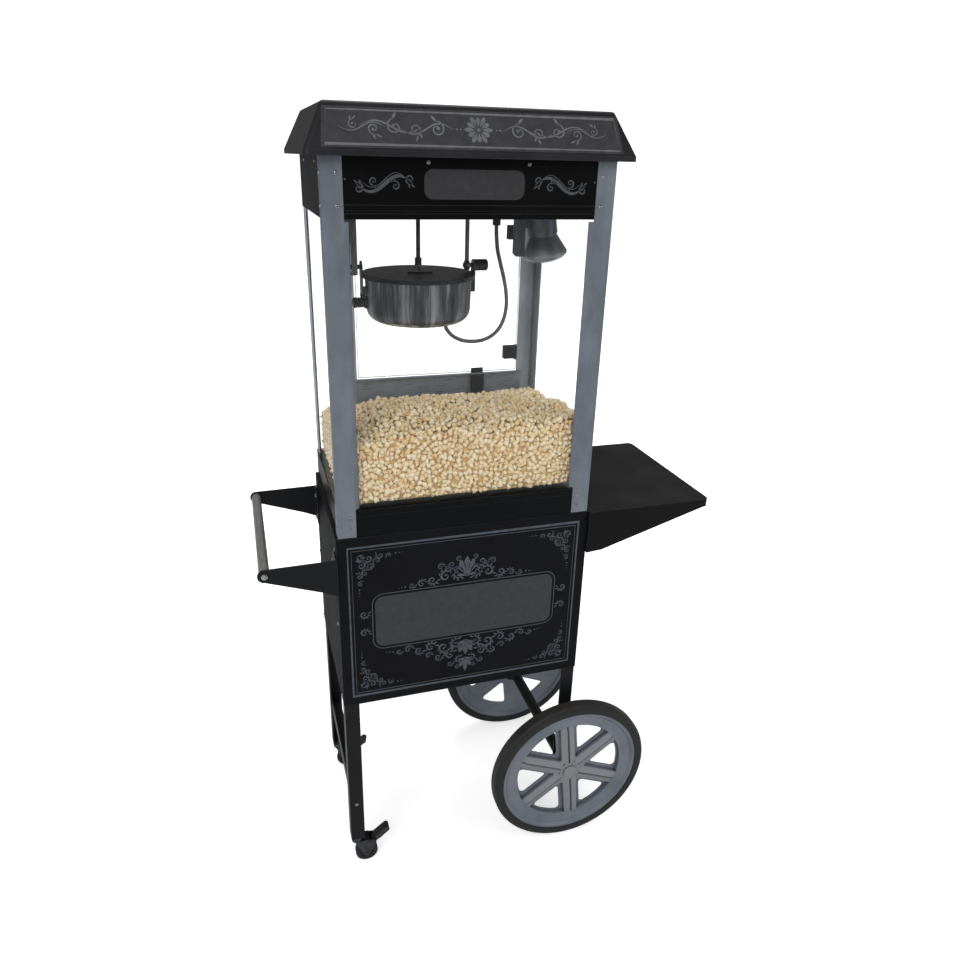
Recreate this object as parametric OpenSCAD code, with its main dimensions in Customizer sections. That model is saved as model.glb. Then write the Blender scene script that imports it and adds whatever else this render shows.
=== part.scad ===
// Popcorn machine on a cart with two large wheels, two casters, a side shelf and a push handle.
// Origin: on the floor, under the middle of the whole footprint.
// The glazed front faces -Y, the side shelf points to +X, the push handle to -X, +Z is up.
// Modules that start from the cabinet's own centre line are placed by at_cabinet().

/* [Cabinet] */
// Width of the cabinet's base and header boxes
cabinet_w = 500; // [440:1:600]
// Depth of the cabinet's base and header boxes
cabinet_d = 340; // [300:1:420]
// Height of the black base box
base_h = 56; // [48:1:80]
// Clear height of the glazing between base and header
glass_h = 510; // [440:1:640]
// Height of the header box
header_h = 94; // [84:1:130]
// How far the ceiling plate sits above the header's lower edge
ceiling_recess = 22; // [16:1:30]
// Width of the front posts' front flanges
front_post_w = 33; // [24:1:40]
// Width of the front posts' side flanges
front_post_side = 20; // [16:1:36]
// Width of the rear posts' side flanges
rear_post_side = 33; // [16:1:40]
// Width of the rear right post's flange
rear_post_w = 37; // [24:1:42]
// Width of the rear left post's narrow lip
rear_lip_w = 8; // [6:1:30]
// Thickness of the post profiles
post_t = 2; // [1.5:0.5:3]
// Thickness of the glass panes
glass_t = 4; // [3:0.5:5]
// Thickness of all folded sheet panels
sheet_t = 1.5; // [1:0.5:2]

/* [Roof] */
// Height of the hipped roof
roof_h = 77; // [55:1:110]
// Overhang of the roof past the header on every side
roof_overhang = 27; // [15:1:45]
// Inset of the roof's flat top from the header's outline
roof_top_inset = 2.5; // [0:0.5:60]
// Height of the upright rim at the roof's edge
roof_rim_h = 8; // [5:1:14]
// Edge radius of the roof
roof_round = 9; // [4:1:14]

/* [Cart] */
// Width over the cart's legs
cart_w = 510; // [450:1:610]
// Height of the cart's top
cart_h = 830; // [740:1:900]
// Height of the cart's side and front panels
cart_panel_h = 382; // [300:1:430]
// Width of the leg profile's flanges
leg_w = 30; // [28:1:40]
// Thickness of the leg profile
leg_t = 2.5; // [2:0.5:4]
// Height of the casters under the left legs
caster_h = 75; // [72:1:90]
// Height of the brace between the left legs above the floor
brace_z = 190; // [150:1:300]

/* [Shelf and handle] */
// Reach of the side shelf past the cart
shelf_reach = 280; // [200:1:340]
// Depth of the side shelf
shelf_d = 356; // [346:1:400]
// Height of the shelf's skirt at the cart
shelf_skirt_h = 92; // [60:1:130]
// Height of the shelf's skirt at its outer edge
shelf_lip_h = 17; // [12:1:30]
// Reach of the handle's bar past the cart
handle_reach = 134; // [100:1:200]
// Width over the two handle arms
handle_d = 364; // [350:1:420]
// Height of the bar below the cart's top
handle_drop = 52; // [40:1:90]
// Diameter of the push bar
push_bar_dia = 20; // [16:1:28]
// Thickness of the handle arms
arm_t = 3; // [2:0.5:4]

/* [Large wheels] */
// Radius of the tyre, which is also the axle's height
wheel_r = 185; // [150:1:210]
// Thickness of the tyre from tread to rim
tyre_h = 21; // [14:1:28]
// Width of the tyre
tyre_w = 32; // [24:1:40]
// Number of spokes
spoke_count = 6; // [5:1:10]
// Width of a spoke
spoke_w = 30; // [20:1:36]
// Inset of the axle from the cart's right side
axle_inset = 8; // [4:1:16]
// Diameter of the axle's wheel seats
axle_dia = 16; // [12:1:20]
// Diameter of the tube round the axle
axle_tube_dia = 26; // [22:1:32]

/* [Kettle] */
// Outer diameter of the kettle
kettle_dia = 203; // [180:1:215]
// Height of the kettle from rim to underside
kettle_h = 87; // [76:1:110]
// How much narrower the kettle's radius is at the bottom
kettle_taper = 2; // [0:0.5:4]
// Edge radius of the kettle's bottom
kettle_round = 26; // [12:1:32]
// Distance of the kettle's centre left of the cabinet's centre
kettle_left = 57; // [40:1:70]
// Height of the tilting axis below the header's lower edge
tilt_drop = 96; // [92:1:110]
// Height of the tilting axis above the lid
lid_drop = 12; // [11:0.5:14]
// Wall thickness of the kettle
kettle_wall = 2; // [1.5:0.5:3]
// Diameter of the tilting pins and the drive shaft
pin_dia = 8; // [6:0.5:9]

/* [Drawer and door] */
// Width of the drawer for unpopped kernels
drawer_w = 220; // [160:1:260]
// Depth of the drawer
drawer_d = 230; // [160:1:260]
// Width of the doorway between the stile and the right post
doorway_w = 367; // [300:1:380]
// Height of the rear sill above the base box
sill_h = 154; // [120:1:200]
// Top of the heaped popcorn above the base box
heap_h = 155; // [60:1:170]

/* [Lamp] */
// Tilt of the heat lamp, its face turned to the right
lamp_tilt = 10; // [0:1:14]
// Widest radius of the lamp
lamp_r = 42; // [34:1:44]
// Radius of the cup that holds it
lamp_cup_r = 28; // [22:1:30]

/* [Hidden] */
$fn = 48;

// Paint and material colours
black_paint = "#17191b";
roof_paint = "#3a3b3d";
post_grey = "#6c747d";
steel = "#9aa0a4";
dark_steel = "#5d6468";
black_plastic = "#141414";
wheel_grey = "#7b8085";
tyre_black = "#1b1a1a";
clear_glass = "#cfe3e8";
bulb_glass = "#a9b1b4";
cord_grey = "#5f6262";
popcorn_cream = "#e3d3a4";

// Clearances
fit_gap = 0.05;      // radial running fit of a pin in its bore
free_gap = 0.3;      // between pieces that slide past each other
panel_gap = 2;       // round the door and the drawer front
eps = 0.01;          // overshoot of a cut through a surface

// Heights
base_z = cart_h;
glass_z = base_z + base_h;
header_z = glass_z + glass_h;
ceiling_z = header_z + ceiling_recess;
roof_z = header_z + header_h;
deck_z = glass_z - 10;
panel_z = cart_h - cart_panel_h;
tilt_z = header_z - tilt_drop;

// Plan
cart_d = cabinet_d;
half_w = cabinet_w / 2;
half_d = cabinet_d / 2;
cart_half = cart_w / 2;
inner_w = half_w - sheet_t;
inner_d = half_d - sheet_t;
glass_x = inner_w - post_t;     // outer face of the side panes
glass_y = inner_d - post_t;     // outer face of the front pane
arm_tip_r = 13;
reach_left = cart_half + handle_reach + arm_tip_r;
reach_right = cart_half + shelf_reach;
cab_x = (reach_left - reach_right) / 2;
panel_x = cart_half + sheet_t;
panel_y = cart_d / 2 + sheet_t;

// Rear door opening, from the stile to the right post
stile_w = 14;
post_inner_x = inner_w - rear_post_w;
stile_x = post_inner_x - doorway_w;
sill_z = glass_z + sill_h;
door_x0 = stile_x + panel_gap;
door_x1 = post_inner_x - panel_gap;
door_z0 = sill_z + panel_gap;
door_z1 = header_z - panel_gap;
hinge_x = post_inner_x - 0.5;
hinge_y = inner_d + 5;
hinge_h = 29;
hinge_pin_r = 2;
hinge_barrel_r = 4.5;
hinge_zs = [door_z0 + 27, door_z1 - 64];

// Places the children on the cabinet's centre line
module at_cabinet() translate([cab_x, 0, 0]) children();

// Turns what is drawn for the front left corner into the corner on side sx, sy
module corner(sx, sy)
    mirror([sx > 0 ? 1 : 0, 0, 0]) mirror([0, sy > 0 ? 1 : 0, 0]) children();

// Square-cornered box between two points
module block(a, b) translate(a) cube(b - a);

// Angle profile whose outer corner is at the origin, flanges along +X and +Y
module angle(wx, wy, t) {
    square([wx, t]);
    square([t, wy]);
}

// Rectangle with round corners, centred
module round_rect(w, h, r) {
    square([w - 2 * r, h], center = true);
    square([w, h - 2 * r], center = true);
    for (x = [-1, 1], y = [-1, 1])
        translate([x * (w / 2 - r), y * (h / 2 - r)]) circle(r);
}

// Extrudes an outline drawn in X and Z over y0 to y1
module along_y(y0, y1) translate([0, y1, 0]) rotate([90, 0, 0]) linear_extrude(y1 - y0) children();

// Extrudes an outline drawn in Y and Z over x0 to x1
module along_x(x0, x1)
    translate([x0, 0, 0]) rotate([90, 0, 90]) linear_extrude(x1 - x0) children();

// ---- Cart frame -------------------------------------------------------------------------

// Corner of a leg for the front left
module leg_profile(z0) {
    translate([-cart_half, -cart_d / 2, z0])
        linear_extrude(cart_h - leg_t - z0) angle(leg_w, leg_w, leg_t);
}

caster_seat = leg_w / 2;        // stem from each outer face of the leg
stem_r = 5;
foot_t = 5;

// Left leg, with the foot plate that the caster's stem turns in
module left_leg(sy) color(black_paint) at_cabinet() corner(-1, sy) {
    leg_profile(caster_h);
    difference() {
        block([-cart_half, -cart_d / 2, caster_h],
              [-cart_half + leg_w, -cart_d / 2 + leg_w, caster_h + foot_t]);
        translate([-cart_half + caster_seat, -cart_d / 2 + caster_seat, caster_h - 1])
            cylinder(r = stem_r + fit_gap, h = foot_t + 2);
    }
}

lug_w = 56;
lug_t = 4;
lug_y = cart_d / 2 + sheet_t + lug_t;
axle_x = cart_half - axle_inset;
right_leg_z = wheel_r + axle_tube_dia / 2 + 6;

// Right leg, with the welded plate that carries the axle tube
module right_leg(sy) color(black_paint) at_cabinet() corner(1, sy) {
    leg_profile(right_leg_z);
    difference() {
        along_y(-lug_y, -lug_y + lug_t) {
            translate([-axle_x, wheel_r]) circle(lug_w / 2);
            translate([-axle_x - lug_w / 2, wheel_r]) square([lug_w, 62]);
        }
        translate([-axle_x, 0, wheel_r]) rotate([90, 0, 0])
            cylinder(d = axle_tube_dia, h = 2 * lug_y, center = true);
    }
    block([-cart_half, -cart_d / 2 - sheet_t, right_leg_z],
          [-cart_half + leg_w, -cart_d / 2, wheel_r + 62]);
}

module leg_front_left() left_leg(-1);
module leg_rear_left() left_leg(1);
module leg_front_right() right_leg(-1);
module leg_rear_right() right_leg(1);

// Front panel, a folded sheet over both front legs
module cart_front_panel() color(black_paint) at_cabinet() {
    block([-panel_x, -panel_y, panel_z], [panel_x, -cart_d / 2, cart_h]);
    block([-cart_half + leg_w + 1, -cart_d / 2 - eps, panel_z],
          [cart_half - leg_w - 1, -cart_d / 2 + 14, panel_z + sheet_t]);
}

// Side panel outside the legs, with a fold at its lower edge
module side_panel(side) color(black_paint) at_cabinet() corner(side, -1) {
    block([-panel_x, -cart_d / 2, panel_z], [-cart_half, cart_d / 2, cart_h]);
    block([-cart_half - eps, -cart_d / 2 + leg_w + 1, panel_z],
          [-cart_half + 12, cart_d / 2 - leg_w - 1, panel_z + sheet_t]);
}

module cart_left_panel() side_panel(-1);
module cart_right_panel() side_panel(1);

// Top of the cart, which lies on the legs inside the panels
module cart_top() color(black_paint) at_cabinet() {
    block([-cart_half, -cart_d / 2, cart_h - leg_t], [cart_half, cart_d / 2, cart_h]);
    for (side = [-1, 1]) corner(side, -1)
        block([-cart_half + leg_t, -cart_d / 2 + leg_w + 1, cart_h - 22],
              [-cart_half + leg_t + sheet_t, cart_d / 2 - leg_w - 1, cart_h - leg_t + eps]);
    block([-cart_half + leg_w + 1, cart_d / 2 - leg_t - sheet_t, cart_h - 22],
          [cart_half - leg_w - 1, cart_d / 2 - leg_t, cart_h - leg_t + eps]);
}

// Floor of the storage space, with turned-up edges between the legs
floor_z = panel_z + 14;
module cart_floor() color(black_paint) at_cabinet() {
    x = cart_half - leg_t;
    y = cart_d / 2 - leg_t;
    block([-x, -y, floor_z], [x, y, floor_z + sheet_t]);
    for (side = [-1, 1]) corner(side, -1)
        block([-x, -y, floor_z], [-x + sheet_t, y, floor_z + 16]);
    block([-x, y - sheet_t, floor_z], [x, y, floor_z + 16]);
}

// Angle brace low down between the two left legs
module leg_brace() color(black_paint) at_cabinet() {
    y = cart_d / 2 - leg_t;
    translate([-cart_half + leg_t, y, brace_z]) rotate([90, 0, 0])
        linear_extrude(2 * y) angle(24, 30, leg_t);
}

// Side shelf folded from one sheet: top, tapered skirts, outer lip and root flange
shelf_r = 12;
module side_shelf() color(black_paint) at_cabinet() {
    x0 = panel_x;
    x1 = cart_half + shelf_reach;
    y1 = shelf_d / 2;
    translate([0, 0, cart_h - sheet_t]) linear_extrude(sheet_t) {
        translate([x0, -y1]) square([x1 - x0 - shelf_r, 2 * y1]);
        translate([x0, -y1 + shelf_r]) square([x1 - x0, 2 * y1 - 2 * shelf_r]);
        for (s = [-1, 1]) translate([x1 - shelf_r, s * (y1 - shelf_r)]) circle(shelf_r);
    }
    for (s = [0, 1]) mirror([0, s, 0]) {
        along_y(-y1, -y1 + sheet_t)
            polygon([[x0, cart_h - eps], [x1 - shelf_r, cart_h - eps], [x1 - shelf_r, cart_h - shelf_lip_h],
                     [x0 + 34, cart_h - shelf_skirt_h + 3], [x0, cart_h - shelf_skirt_h]]);
        translate([x1 - shelf_r, -y1 + shelf_r, cart_h - shelf_lip_h]) rotate([0, 0, -90])
            rotate_extrude(angle = 90) translate([shelf_r - sheet_t, 0]) square([sheet_t, shelf_lip_h - eps]);
    }
    block([x1 - sheet_t, -y1 + shelf_r, cart_h - shelf_lip_h], [x1, y1 - shelf_r, cart_h - eps]);
    block([x0, -y1, cart_h - shelf_skirt_h], [x0 + sheet_t, y1, cart_h - eps]);
}

bar_x = cart_half + handle_reach;
bar_z = cart_h - handle_drop;
arm_root_top = cart_h - 37;
arm_root_h = 77;

// Outline of a handle arm in X and Z, for the left side
module arm_outline() {
    translate([-bar_x, bar_z]) circle(arm_tip_r);
    polygon([[-panel_x, arm_root_top], [-bar_x, bar_z + arm_tip_r], [-bar_x, bar_z - arm_tip_r],
             [-cart_half - 32, arm_root_top - arm_root_h + 13], [-panel_x, arm_root_top - arm_root_h]]);
}

// The two handle arms, each with a flange bent against the side panel
module handle_arms() color(black_paint) at_cabinet() for (s = [0, 1]) mirror([0, s, 0]) {
    y = handle_d / 2;
    difference() {
        along_y(-y, -y + arm_t) arm_outline();
        translate([-bar_x, 0, bar_z]) rotate([90, 0, 0]) cylinder(r = 4, h = 3 * y, center = true);
    }
    block([-panel_x - arm_t, -y, arm_root_top - arm_root_h], [-panel_x, -y + 46, arm_root_top]);
}

module push_bar() color(post_grey) at_cabinet()
    translate([-bar_x, 0, bar_z]) rotate([90, 0, 0])
        cylinder(d = push_bar_dia, h = handle_d - 2 * arm_t, center = true);

// Dome-headed bolt whose head stands on the plane z = 0 along +Z
module bolt_head(r = 5, h = 3) {
    cylinder(r = r, h = h * 0.5);
    translate([0, 0, h * 0.5 - eps]) cylinder(r = r * 0.75, h = h * 0.5);
}

// Bolts of the handle, shelf, panels and legs
module cart_bolts() color(steel) at_cabinet() {
    for (s = [-1, 1]) {
        translate([-bar_x, s * handle_d / 2, bar_z]) rotate([-90 * s, 0, 0]) {
            bolt_head(6, 4);
            translate([0, 0, -arm_t + eps]) cylinder(r = 4 - free_gap, h = arm_t);
        }
        for (z = [12, arm_root_h - 12])
            translate([-panel_x - arm_t, s * (handle_d / 2 - 30), arm_root_top - z])
                rotate([0, -90, 0]) bolt_head();
        for (z = [16, shelf_skirt_h - 16])
            translate([panel_x + sheet_t, s * (shelf_d / 2 - 26), cart_h - z])
                rotate([0, 90, 0]) bolt_head();
        for (z = [28, cart_panel_h / 2, cart_panel_h - 18])
            translate([-panel_x, s * (cart_d / 2 - 15), panel_z + cart_panel_h - z])
                rotate([0, -90, 0]) bolt_head(4, 2.5);
        for (z = [cart_panel_h / 2, cart_panel_h - 18])
            translate([panel_x, s * (cart_d / 2 - 15), panel_z + cart_panel_h - z])
                rotate([0, 90, 0]) bolt_head(4, 2.5);
        translate([-cart_half + leg_w / 2, s * cart_d / 2, brace_z - 12]) rotate([-90 * s, 0, 0]) bolt_head(4, 2.5);
    }
}

// ---- Large wheels -----------------------------------------------------------------------

wheel_y = lug_y + 10 + tyre_w / 2;      // middle plane of the wheel
rim_r = wheel_r - tyre_h;
window_r = rim_r - 36;
hub_r = 25;
hub_in = -17;
hub_out = 10;
bore_end = -2;
spoke_phase = 36;

// Axle: tube between the legs, stubs for the wheels
module axle() color(black_paint) at_cabinet() translate([axle_x, 0, wheel_r]) rotate([90, 0, 0]) {
    cylinder(d = axle_tube_dia, h = 2 * (lug_y + 2), center = true);
    cylinder(d = axle_dia, h = 2 * (wheel_y + bore_end - free_gap), center = true);
}

// Moulded wheel about Z: rim, hub and broad spokes with a rib along each edge, outside up
module wheel_disc() {
    difference() {
        union() {
            rotate_extrude($fn = 96) polygon([
                [rim_r, -14], [rim_r, 14], [rim_r - 6, 14], [rim_r - 11, 9], [window_r + 8, 7], [window_r, 7],
                [window_r, -5], [window_r + 8, -5], [rim_r - 11, -8], [rim_r - 6, -14]]);
            translate([0, 0, hub_in]) cylinder(r = hub_r, h = hub_out - hub_in);
            translate([0, 0, hub_out - 1]) cylinder(r = hub_r - 9, h = 4);
            translate([0, 0, -6]) cylinder(r = hub_r + 13, h = 12.5);
            for (i = [0 : spoke_count - 1]) rotate(spoke_phase + i * 360 / spoke_count) {
                block([hub_r + 5, -spoke_w / 2, -4], [window_r + 3, spoke_w / 2, 0.5]);
                for (s = [-1, 1])
                    block([hub_r + 5, s * (spoke_w / 2 - 2.5) - 2.5, -1],
                          [window_r + 3, s * (spoke_w / 2 - 2.5) + 2.5, 5.5]);
            }
        }
        translate([0, 0, hub_in - eps]) cylinder(r = axle_dia / 2 + fit_gap, h = bore_end - hub_in);
    }
}

// Tyre about Z with rounded shoulders
module tyre_ring() {
    shoulder = 9;
    rotate_extrude($fn = 96) {
        translate([rim_r, -tyre_w / 2]) square([tyre_h - shoulder, tyre_w]);
        translate([rim_r, -tyre_w / 2 + shoulder]) square([tyre_h, tyre_w - 2 * shoulder]);
        for (s = [-1, 1]) translate([wheel_r - shoulder, s * (tyre_w / 2 - shoulder)]) circle(shoulder);
    }
}

// Stands a wheel drawn about Z at the front, or mirrored at the rear
module stand_wheel(sy) at_cabinet() corner(-1, sy)
    translate([axle_x, -wheel_y, wheel_r]) rotate([90, 0, 0]) children();

module wheel_front() color(wheel_grey) stand_wheel(-1) wheel_disc();
module tyre_front() color(tyre_black) stand_wheel(-1) tyre_ring();
module wheel_rear() color(wheel_grey) stand_wheel(1) wheel_disc();
module tyre_rear() color(tyre_black) stand_wheel(1) tyre_ring();

// ---- Casters ----------------------------------------------------------------------------

caster_r = 25;
caster_w = 19;
caster_trail = 19;
caster_pin_r = 3;
cheek_gap = 21;
cheek_t = 3;
pedal_x = 35;
pedal_z = 55;
pedal_pin_r = 2;

// Places a caster under a left leg, trailing along +X turned by a
module place_caster(sy, a) at_cabinet()
    translate([-cart_half + caster_seat, sy * (cart_d / 2 - caster_seat), 0]) rotate(a) children();

// Fork with its swivel stem, wheel pin and pedal pin, about Z
module fork() {
    translate([0, 0, 64]) cylinder(r = stem_r, h = caster_h + foot_t + 6 - 64);
    translate([0, 0, caster_h + foot_t + free_gap]) cylinder(r = 8, h = 3);
    translate([0, 0, 62]) linear_extrude(caster_h - 62 - 0.5) circle(13);
    translate([0, 0, 60]) linear_extrude(4) {
        circle(cheek_gap / 2 + cheek_t);
        translate([0, -cheek_gap / 2 - cheek_t]) square([26, cheek_gap + 2 * cheek_t]);
    }
    for (s = [0, 1]) mirror([0, s, 0]) along_y(cheek_gap / 2, cheek_gap / 2 + cheek_t) {
        polygon([[-6, 62], [30, 62], [pedal_x + 5, pedal_z + 3], [pedal_x + 3, pedal_z - 5],
                 [caster_trail + 7, caster_r - 4], [caster_trail - 7, caster_r - 3]]);
        translate([caster_trail, caster_r]) circle(8);
        translate([pedal_x, pedal_z]) circle(6);
    }
    translate([caster_trail, 0, caster_r]) rotate([90, 0, 0])
        cylinder(r = caster_pin_r, h = cheek_gap + 2 * cheek_t + 3, center = true);
    translate([pedal_x, 0, pedal_z]) rotate([90, 0, 0])
        cylinder(r = pedal_pin_r, h = cheek_gap + 2 * cheek_t + 1, center = true);
}

module caster_wheel() translate([caster_trail, 0, caster_r]) rotate([90, 0, 0])
    rotate_extrude() {
        hub_w = caster_w - 4;
        translate([caster_pin_r + fit_gap, -hub_w / 2]) square([caster_r - 8, hub_w]);
        translate([caster_r - 10, -caster_w / 2]) square([7, caster_w]);
        translate([caster_r - 5, -caster_w / 2 + 3]) square([5, caster_w - 6]);
        for (s = [-1, 1]) translate([caster_r - 3, s * (caster_w / 2 - 3)]) circle(3);
    }

// Brake pedal whose lobe swings onto the wheel when the pedal is pressed down about its pin
module caster_pedal() difference() {
    along_y(-9.5, 9.5) {
        translate([pedal_x, pedal_z]) circle(5);
        polygon([[pedal_x - 4, pedal_z + 3], [pedal_x + 6, pedal_z + 13], [pedal_x + 26, pedal_z + 29],
                 [pedal_x + 35, pedal_z + 20], [pedal_x + 16, pedal_z + 4], [pedal_x + 3, pedal_z - 4]]);
        translate([pedal_x + 30.5, pedal_z + 24.5]) circle(6.4);
        translate([pedal_x, pedal_z]) rotate(-93) translate([0, -2]) square([8.5, 4]);
    }
    translate([pedal_x, 0, pedal_z]) rotate([90, 0, 0])
        cylinder(r = pedal_pin_r + fit_gap, h = 40, center = true);
}

rear_caster_turn = -15;
module caster_fork_front() color(dark_steel) place_caster(-1, 0) fork();
module caster_wheel_front() color(black_plastic) place_caster(-1, 0) caster_wheel();
module caster_brake_front() color(black_plastic) place_caster(-1, 0) caster_pedal();
module caster_fork_rear() color(dark_steel) place_caster(1, rear_caster_turn) fork();
module caster_wheel_rear() color(black_plastic) place_caster(1, rear_caster_turn) caster_wheel();
module caster_brake_rear() color(black_plastic) place_caster(1, rear_caster_turn) caster_pedal();

// ---- Cabinet ----------------------------------------------------------------------------

drawer_z = base_z + 8;
drawer_h = deck_z - sheet_t - drawer_z - 5;

// Base box, open at the top, with the front lip and the drawer's opening at the rear
module base_tray() color(black_paint) at_cabinet() {
    difference() {
        block([-half_w, -half_d, base_z], [half_w, half_d, glass_z]);
        block([-inner_w, -inner_d, base_z + sheet_t], [inner_w, inner_d, glass_z + 1]);
        block([-drawer_w / 2 - panel_gap, inner_d - 1, drawer_z - panel_gap],
              [drawer_w / 2 + panel_gap, half_d + 1, drawer_z + drawer_h + panel_gap]);
    }
    block([-half_w + front_post_w + 1, -half_d - post_t, glass_z - 14],
          [half_w - front_post_w - 1, -half_d + eps, glass_z]);
    for (s = [-1, 1]) corner(s, -1)
        block([-drawer_w / 2 - free_gap - 3, inner_d - drawer_d, base_z + sheet_t - eps],
              [-drawer_w / 2 - free_gap, inner_d + eps, drawer_z + 10]);
    block([-drawer_w / 2 - 3, inner_d - drawer_d, base_z + sheet_t - eps],
          [drawer_w / 2 + 3, inner_d - 20, drawer_z - free_gap]);
}

// Deck that carries the popcorn, with holes for unpopped kernels over the drawer
hole_pitch = 22;
module kernel_deck() color(steel) at_cabinet() {
    difference() {
        block([-inner_w, -inner_d, deck_z - sheet_t], [inner_w, inner_d, deck_z]);
        for (i = [-4 : 4], j = [0 : 4])
            translate([i * hole_pitch, inner_d - 60 - j * hole_pitch, deck_z - sheet_t - 1])
                cylinder(r = 4, h = sheet_t + 2);
    }
}

// Drawer for unpopped kernels, which slides out at the rear
module crumb_drawer() color(steel) at_cabinet() {
    x = drawer_w / 2;
    y0 = inner_d - drawer_d + 2;
    difference() {
        block([-x, y0, drawer_z], [x, half_d, drawer_z + drawer_h]);
        block([-x + sheet_t, y0 + sheet_t, drawer_z + sheet_t],
              [x - sheet_t, half_d - sheet_t, drawer_z + drawer_h + 1]);
    }
    along_x(-45, 45) polygon([[half_d - eps, drawer_z + drawer_h - 2], [half_d + 14, drawer_z + drawer_h - 6],
        [half_d + 14, drawer_z + drawer_h - 12], [half_d + 12, drawer_z + drawer_h - 12],
        [half_d + 12, drawer_z + drawer_h - 7.5], [half_d - eps, drawer_z + drawer_h - 4]]);
}

bevel = post_t + sheet_t;       // depth of the lip that reaches the glass

// Front corner post: angle profile outside the boxes, with bevelled lips that hold the panes
module front_post() translate([0, 0, base_z + 2]) {
    h = roof_z - base_z - 2;
    translate([-half_w - post_t, -half_d - post_t, 0])
        linear_extrude(h) angle(front_post_w + post_t, front_post_side + post_t, post_t);
    y = -half_d - post_t;
    x = -half_w + front_post_w;
    v = -half_d + front_post_side;
    translate([0, 0, glass_z - base_z]) linear_extrude(glass_h - 6) {
        polygon([[x - 1, y], [x, y], [x + 8, -glass_y - free_gap], [x + 6, -glass_y - free_gap],
                 [x - 1, y + post_t]]);
        polygon([[-half_w - post_t, v - 1], [-half_w - post_t, v], [-glass_x - free_gap, v + 8],
                 [-glass_x - free_gap, v + 6], [-half_w, v - 1]]);
    }
}

module post_front_left() color(post_grey) at_cabinet() corner(-1, -1) front_post();
module post_front_right() color(post_grey) at_cabinet() corner(1, -1) front_post();

rear_post_z = deck_z;
rear_post_h = ceiling_z - deck_z;

// Rear left post: side flange and a narrow lip at the back
module post_rear_left() color(post_grey) at_cabinet() corner(-1, 1)
    translate([-inner_w, -inner_d, rear_post_z]) linear_extrude(rear_post_h)
        angle(rear_lip_w, rear_post_side, post_t);

// Rear right post, with the hinge pins of the door on two lugs
module post_rear_right() color(post_grey) at_cabinet() {
    corner(1, 1) translate([-inner_w, -inner_d, rear_post_z]) linear_extrude(rear_post_h)
        angle(rear_post_w, rear_post_side, post_t);
    for (z = hinge_zs) {
        block([hinge_x, inner_d + free_gap, z - 5], [hinge_x + 12, hinge_y + 4, z - free_gap]);
        translate([hinge_x, hinge_y, z - 5]) cylinder(r = hinge_barrel_r, h = 5 - free_gap);
        translate([hinge_x, hinge_y, z - 1]) cylinder(r = hinge_pin_r, h = hinge_h + 2);
    }
}

module front_glass() color(clear_glass) at_cabinet()
    block([-glass_x, -glass_y, deck_z], [glass_x, -glass_y + glass_t, ceiling_z]);

// The two side panes
module side_glasses() color(clear_glass) at_cabinet() for (s = [-1, 1]) corner(s, -1)
    block([-glass_x, -glass_y + glass_t, deck_z], [-glass_x + glass_t, glass_y, ceiling_z]);

// Fixed clear pane between the rear left post and the door's stile
module rear_pane() color(clear_glass) at_cabinet()
    block([-glass_x + glass_t, glass_y - glass_t, deck_z], [stile_x - 4, glass_y, ceiling_z]);

// Upright strip that the door closes beside
module door_stile() color(post_grey) at_cabinet()
    block([stile_x - stile_w, glass_y, deck_z], [stile_x, inner_d, ceiling_z]);

// Low rear wall behind the popcorn, with a folded top edge
module rear_sill() color(steel) at_cabinet() {
    block([stile_x - 3.5, glass_y - sheet_t, deck_z], [post_inner_x + 10, glass_y, sill_z]);
    block([stile_x - 3.5, glass_y - 12, sill_z - sheet_t], [post_inner_x + 10, glass_y - eps, sill_z]);
}

catch_x = 116;

// Magnetic catch under the door's lower edge
module door_catch() color(black_plastic) at_cabinet() {
    block([catch_x - 14, glass_y - sheet_t - 11, sill_z - 42],
          [catch_x + 14, glass_y - sheet_t, sill_z - sheet_t]);
}

// Clear door over the operator's opening
module rear_door() color(clear_glass) at_cabinet()
    block([door_x0, inner_d - glass_t, door_z0], [door_x1, inner_d, door_z1]);

knob_x = door_x0 + 26;
knob_z = (door_z0 + door_z1) / 2;

// Hinge leaves, inner clamp plates and the pull knob of the door
module door_fittings() color(black_plastic) at_cabinet() {
    for (z = hinge_zs) {
        difference() {
            union() {
                translate([hinge_x, hinge_y, z]) cylinder(r = hinge_barrel_r, h = hinge_h);
                block([hinge_x - 32, inner_d, z], [hinge_x - 2, hinge_y + 1, z + hinge_h]);
            }
            translate([hinge_x, hinge_y, z - 1]) cylinder(r = hinge_pin_r + fit_gap, h = hinge_h + 2);
            block([hinge_x - 1, inner_d - 2, z - 1], [hinge_x + 8, inner_d + 0.4, z + hinge_h + 1]);
        }
        block([hinge_x - 32, inner_d - glass_t - 4, z],
              [hinge_x - 3, inner_d - glass_t, z + hinge_h]);
    }
    translate([knob_x, inner_d, knob_z]) rotate([-90, 0, 0]) {
        cylinder(r = 6, h = 10);
        translate([0, 0, 8]) cylinder(r = 13, h = 9);
    }
    block([catch_x - 14, inner_d - glass_t - 2, door_z0 - 1], [catch_x + 14, inner_d - glass_t, door_z0 + 10]);
}

// ---- Header and roof --------------------------------------------------------------------

switch_w = 14;
switch_len = 28;
switch_z = roof_z - 36;
switch_xs = [60, 100, 140];
shaft_x = -kettle_left;
lamp_x = 173.5;
lamp_y = -30;
socket_x = 116;
socket_y = 58;

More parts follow.
